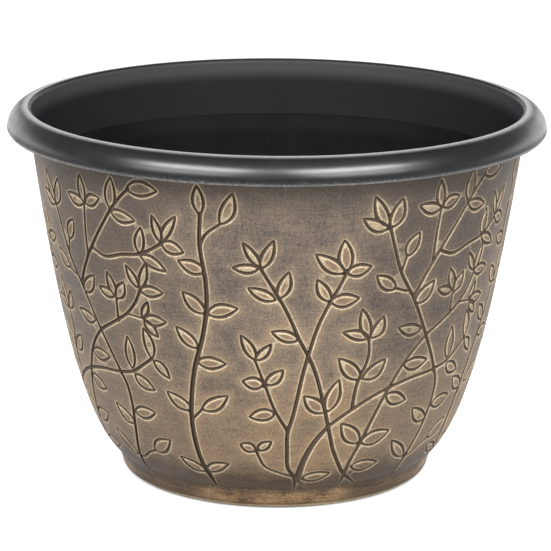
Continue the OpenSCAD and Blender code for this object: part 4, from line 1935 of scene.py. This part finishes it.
@dataclass(frozen=True)
class RubbedPewter(Finish):
    """Charcoal plastic rubbed with silver round the top of its roll and along its edges.

    The crest's bright line is silver wear and a painted highlight, the lip's worn line is painted
    dimmer halfway between the front and the sides as painted shade, and the inside is painted lighter
    towards the mouth as painted light. Ramps that end in turn go by the angle round the roll, in
    degrees from its widest point upwards. Heights and radii are in millimetres, lip_quarter goes by
    the bearing, and the other ramps go by the grain.
    """

    name: str = "rubbed_pewter"
    roughness: float = 0.3
    gloss: float = 0.35
    bump: float = 0.03
    speckle_scale: float = 700.0
    stroke_scale: float = 520.0
    patch_scale: float = 90.0
    cloud_scale: float = 14.0
    roll_radius: float = 176.0
    roll_height: float = 249.0
    charcoal: Color = srgb(38, 39, 41)
    dark: Color = srgb(28, 29, 31)
    dark_wear: Ramp = (0.3, 0.75)
    patch_roughness: float = 0.12
    rough_patch: Ramp = (0.35, 0.65)
    # Coat on the roll's upper side
    polish_roughness: float = 0.28
    polish_density: float = 2.4
    polish_low_turn: Ramp = (6, 22)
    polish_high_turn: Ramp = (80, 50)
    polish_cloud: Ramp = (0.35, 0.6, 0.8, 1.0)
    # Silver flecks on its lower side
    silver: Color = srgb(110, 110, 110)
    fleck_share: float = 0.85
    fleck_tone: Ramp = (0.5, 0.95)
    fleck_turn: Ramp = (8, -6)
    # Bright crest, silver wear and a painted highlight, and the worn lip
    bright: Color = srgb(178, 177, 175)
    crest_outer_turn: Ramp = (68, 88)
    crest_inner_turn: Ramp = (95, 91)
    crest_wear_and_highlight: Ramp = (0.1, 0.6, 0.7, 1.0)
    lip_height: Ramp = (248.5, 247.6)
    lip_wear: Ramp = (0.1, 0.7, 0.3, 1.0)
    lip_quarter: Ramp = (0.0, 0.6, 0.28, 0.5)
    # Duller inside, painted lighter towards the mouth as painted light
    inside: Color = srgb(47, 47, 50)
    inside_top: Color = srgb(86, 86, 89)
    inside_gloss: float = 0.12
    inside_turn: Ramp = (96, 104)
    inside_radius: Ramp = (173.4, 172.6)
    inside_height: Ramp = (247, 258)

    def build(self, groups: dict[str, bpy.types.NodeTree]) -> bpy.types.Material:
        """Makes the material.

        Args:
            groups: The shader groups, by name.

        Returns:
            The material.
        """
        material, wires, grain = self.start(groups)
        place = wires.node("ShaderNodeGroup", node_tree=groups["place"]).outputs
        radius, height = place["Radius"], place["Height"]
        up = wires.math("SUBTRACT", height, self.roll_height)
        out = wires.math("SUBTRACT", radius, self.roll_radius)
        turn = wires.times(wires.math("ARCTAN2", up, out), math.degrees(1))
        wear = wires.weigh(grain, {"Speckle": 1.0, "Upright": 0.8, "Patch": 0.6})
        color = wires.mix(wires.band(wear, *self.dark_wear), self.dark, self.charcoal)
        fleck = wires.weigh(grain, {"Speckle": 2.0, "Upright": 1.0})
        flecks = wires.times(
            wires.band(fleck, *self.fleck_tone), wires.band(turn, *self.fleck_turn), self.fleck_share
        )
        color = wires.mix(flecks, color, self.silver)
        # The crest's bright line: silver wear and a painted highlight.
        crest = wires.times(
            wires.band(turn, *self.crest_outer_turn), wires.band(turn, *self.crest_inner_turn),
            wires.band(wear, *self.crest_wear_and_highlight),
        )
        color = wires.mix(crest, color, self.bright)
        # The lip's worn line, painted dimmer halfway between the front and the sides as painted shade.
        lip = wires.times(
            wires.band(height, *self.lip_height), wires.band(wear, *self.lip_wear),
            wires.band(place["Quarter"], *self.lip_quarter),
        )
        color = wires.mix(lip, color, self.bright)
        within = wires.math(
            "MAXIMUM", wires.band(turn, *self.inside_turn), wires.band(radius, *self.inside_radius)
        )
        # Painted light: the collar's inside is painted lighter towards the mouth.
        inside = wires.mix(wires.band(height, *self.inside_height), self.inside, self.inside_top)
        color = wires.mix(within, color, inside)
        polish = wires.times(
            wires.band(turn, *self.polish_low_turn), wires.band(turn, *self.polish_high_turn),
            wires.band(grain.outputs["Cloud"], *self.polish_cloud),
        )
        rough = wires.band(
            grain.outputs["Patch"], *self.rough_patch, self.roughness,
            self.roughness + self.patch_roughness,
        )
        shader = material.node_tree.nodes["Principled BSDF"]
        shader.inputs["Coat Roughness"].default_value = self.polish_roughness
        shader.inputs["Coat IOR"].default_value = self.polish_density
        values = {
            "Base Color": color, "Roughness": rough, "Coat Weight": polish,
            "Specular IOR Level": wires.band(within, 0.0, 1.0, self.gloss, self.inside_gloss),
        }
        return self.close(material, wires, grain, values)


@dataclass(frozen=True)
class BarePlastic(Finish):
    """Unpainted black moulded plastic, of the inside, the underside and the plugs."""

    name: str = "bare_plastic"
    roughness: float = 0.6
    gloss: float = 0.15
    bump: float = 0.12
    speckle_scale: float = 300.0
    stroke_scale: float = 90.0
    patch_scale: float = 40.0
    cloud_scale: float = 9.0
    dark: Color = srgb(22, 22, 23)
    light: Color = srgb(30, 30, 32)
    tone: Ramp = (0.3, 0.7)
    tone_roughness: float = 0.1

    def build(self, groups: dict[str, bpy.types.NodeTree]) -> bpy.types.Material:
        """Makes the material.

        Args:
            groups: The shader groups, by name.

        Returns:
            The material.
        """
        material, wires, grain = self.start(groups)
        tone = wires.weigh(grain, {"Speckle": 0.4, "Patch": 0.6, "Cloud": 1.0})
        color = wires.mix(wires.band(tone, *self.tone), self.dark, self.light)
        rough = wires.band(tone, *self.tone, self.roughness, self.roughness + self.tone_roughness)
        return self.close(material, wires, grain, {"Base Color": color, "Roughness": rough})


# The studio


@dataclass
class Studio:
    """Floor, light and camera."""

    distance: float = 1953.0
    target_height: float = 138.0
    elevation: float = 14.84
    roll: float = 0.37
    side_step: float = -0.41
    focal_pixels: float = 2724.0
    frame_pixels: float = 551.0
    sensor: float = 36.0
    view_reach: float = 100.0
    floor_size: float = 12.0
    floor_gap: float = 0.2
    floor_roughness: float = 0.9
    floor_glow: float = 0.86
    floor_painted_shadow: Ramp = (96.0, 114.0, 0.15, 1.0)
    floor_shade: float = 0.65
    sky_strength: float = 0.12
    ceiling_strength: float = 0.08
    backdrop_tilt: float = 0.4
    backdrop_lift: Ramp = (-0.16, 0.06)
    softbox_length: float = 1.5
    softbox_width: float = 0.55
    softbox_distance: float = 2.2
    left_bearing: float = -38.0
    right_bearing: float = 34.0
    high_elevation: float = 43.0
    low_elevation: float = 23.0
    fill_elevation: float = 35.0
    top_elevation: float = 85.0
    high_power: float = 13.0
    low_power: float = 4.5
    fill_power: float = 17.0
    back_power: float = 18.0
    top_power: float = 12.0
    right_share: float = 1.08

    def camera(self) -> None:
        """Sets the camera at the photograph's place and lens."""
        data = bpy.data.cameras.new("camera")
        data.sensor_width = self.sensor
        data.lens = self.sensor * self.focal_pixels / self.frame_pixels
        data.clip_end = self.view_reach
        camera = bpy.data.objects.new("camera", data)
        bpy.context.scene.collection.objects.link(camera)
        tilt = math.radians(self.elevation)
        place = Vector((
            self.side_step * MM,
            -self.distance * MM * math.cos(tilt),
            (self.target_height + self.distance * math.sin(tilt)) * MM,
        ))
        look = Matrix.Rotation(math.radians(90 - self.elevation), 4, "X")
        turn = Matrix.Rotation(math.radians(self.roll), 4, "Z")
        camera.matrix_world = Matrix.Translation(place) @ look @ turn
        bpy.context.scene.camera = camera

    def floor(self, place: bpy.types.NodeTree) -> None:
        """Lays a plain white floor whose glow fades under the pot and close to its foot, a painted
        contact shadow, while its lit part keeps the pot's shadow.

        Args:
            place: The shader group that gives the radius from the pot's axis.
        """
        half = self.floor_size / 2
        mesh = bpy.data.meshes.new("floor")
        corners = [(-half, -half, 0), (half, -half, 0), (half, half, 0), (-half, half, 0)]
        mesh.from_pydata(corners, [], [(0, 1, 2, 3)])
        mesh.transform(Matrix.Translation((0, 0, -self.floor_gap * MM)))
        material = bpy.data.materials.new("studio_floor")
        material.use_nodes = True
        wires = Wiring(material.node_tree)
        nodes = material.node_tree.nodes
        shader = nodes["Principled BSDF"]
        shader.inputs["Base Color"].default_value = (*(self.floor_shade,) * 3, 1)
        shader.inputs["Roughness"].default_value = self.floor_roughness
        shader.inputs["Specular IOR Level"].default_value = 0.0
        radius = wires.node("ShaderNodeGroup", node_tree=place).outputs["Radius"]
        # The glow fades under and close to the pot: a painted contact shadow.
        strength = wires.times(self.seen(wires), wires.band(radius, *self.floor_painted_shadow), self.floor_glow)
        glow = wires.node("ShaderNodeEmission", {"Color": (1, 1, 1, 1), "Strength": strength})
        both = wires.node("ShaderNodeAddShader", {0: shader.outputs[0], 1: glow.outputs[0]})
        wires.tree.links.new(both.outputs[0], nodes["Material Output"].inputs["Surface"])
        mesh.materials.append(material)
        as_object("floor", mesh)

    def seen(self, wires: Wiring) -> Any:
        """1 for the rays that show the white surroundings: from the camera, mirrored or let through.

        Args:
            wires: Wiring of the material or the world.

        Returns:
            The share's socket.
        """
        path = wires.node("ShaderNodeLightPath").outputs
        seen = wires.math("ADD", path["Is Camera Ray"], path["Is Glossy Ray"])
        return wires.math("ADD", seen, path["Is Transmission Ray"], clamp=True)

    def light(self) -> None:
        """Lights the scene with a white backdrop, two pairs of softboxes and lamps that only fill."""
        world = bpy.data.worlds.new("studio")
        bpy.context.scene.world = world
        world.use_nodes = True
        wires = Wiring(world.node_tree)
        nodes = world.node_tree.nodes
        way = wires.node("ShaderNodeTexCoord").outputs["Generated"]
        parts = wires.node("ShaderNodeSeparateXYZ", {0: way}).outputs
        lift = wires.math("SUBTRACT", parts[2], wires.times(parts[1], self.backdrop_tilt))
        backdrop = wires.band(lift, *self.backdrop_lift, 1.0, self.ceiling_strength)
        camera = wires.node("ShaderNodeLightPath").outputs["Is Camera Ray"]
        shown = wires.math("MAXIMUM", backdrop, camera)
        extra = wires.times(self.seen(wires), wires.math("SUBTRACT", shown, self.sky_strength))
        strength = wires.math("ADD", self.sky_strength, extra)
        wires.tree.links.new(strength, nodes["Background"].inputs["Strength"])
        nodes["Background"].inputs["Color"].default_value = (1, 1, 1, 1)
        for name, bearing in (("left", self.left_bearing), ("right", self.right_bearing)):
            share = self.right_share if bearing > 0 else 1 / self.right_share
            self.softbox(f"{name}_high_softbox", bearing, self.high_elevation, self.high_power * share)
            self.softbox(f"{name}_low_softbox", bearing, self.low_elevation, self.low_power * share)
        for name, bearing, elevation, power in (
            ("front_fill", 0.0, self.fill_elevation, self.fill_power),
            ("back_fill", 180.0, self.fill_elevation, self.back_power),
            ("top_fill", 0.0, self.top_elevation, self.top_power),
        ):
            self.softbox(name, bearing, elevation, power).visible_glossy = False

    def softbox(self, name: str, bearing: float, elevation: float, power: float) -> bpy.types.Object:
        """Adds a soft lamp that looks at the pot.

        Args:
            name: Name of the lamp.
            bearing: Its bearing from the front, in degrees towards +X.
            elevation: Its elevation, in degrees.
            power: Its power, in watts.

        Returns:
            The lamp.
        """
        data = bpy.data.lights.new(name, "AREA")
        data.shape = "RECTANGLE"
        data.size = self.softbox_length
        data.size_y = self.softbox_width
        data.energy = power
        lamp = bpy.data.objects.new(name, data)
        bpy.context.scene.collection.objects.link(lamp)
        tilt, turn = math.radians(elevation), math.radians(bearing)
        level = self.softbox_distance * math.cos(tilt)
        lift = self.target_height * MM + self.softbox_distance * math.sin(tilt)
        place = Vector((level * math.sin(turn), -level * math.cos(turn), lift))
        aim = Matrix.Rotation(turn, 4, "Z") @ Matrix.Rotation(math.pi / 2 - tilt, 4, "X")
        lamp.matrix_world = Matrix.Translation(place) @ aim
        return lamp


def keep(piece: bpy.types.Object, body: str, nodes: Sequence[str], slot: str) -> None:
    """Puts a piece under its body, hides the nodes that it stands for, and reports it.

    Args:
        piece: The piece.
        body: Name of the body that carries it.
        nodes: Names of the nodes that it stands for.
        slot: Name of its material slot, which is not used.
    """
    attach(piece, body)
    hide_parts(*nodes)
    LOG.info("%s: %d triangles on %s", piece.name, triangle_count(piece.data), body)


def triangle_count(mesh: bpy.types.Mesh) -> int:
    """Number of triangles in a mesh."""
    return sum(len(face.vertices) - 2 for face in mesh.polygons)


def main() -> None:
    """Builds the planter and its studio in order."""
    logging.basicConfig(level=logging.INFO, format="%(name)s: %(message)s")
    bpy.context.scene.view_settings.view_transform = "Standard"
    form = PotForm(rim_radius=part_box("rolled_rim")[1].x / MM, height=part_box("rolled_rim")[1].z / MM)
    groups = {"place": place_group(), "grain": grain_group()}
    bronze = RubbedBronze().build(groups)
    pewter = RubbedPewter().build(groups)
    bare = BarePlastic().build(groups)
    shell = CarvedShell(form).build({Coat.RUBBED: bronze, Coat.BARE: bare})
    keep(shell, "pot", ["pot_body"], "bronze_shell")
    floor = DrainedFloor(form)
    keep(floor.build(bare), "pot", ["pot_body"], "black_plug")
    keep(RolledRim(form).build(pewter), "pot", ["rolled_rim"], "pewter_rim")
    for number in range(1, floor.drain_count + 1):
        turn = math.radians(floor.drain_turn + (number - 1) * 360 / floor.drain_count)
        seat = Matrix.Rotation(turn, 4, "Z") @ Matrix.Translation((floor.drain_circle * MM, 0, 0))
        plug = DrainPlug().build(number, seat, bare)
        keep(plug, f"plug_{number}", [f"drain_plug_{number}"], "black_plug")
    studio = Studio()
    studio.floor(groups["place"])
    studio.light()
    studio.camera()


if __name__ == "__main__":
    main()
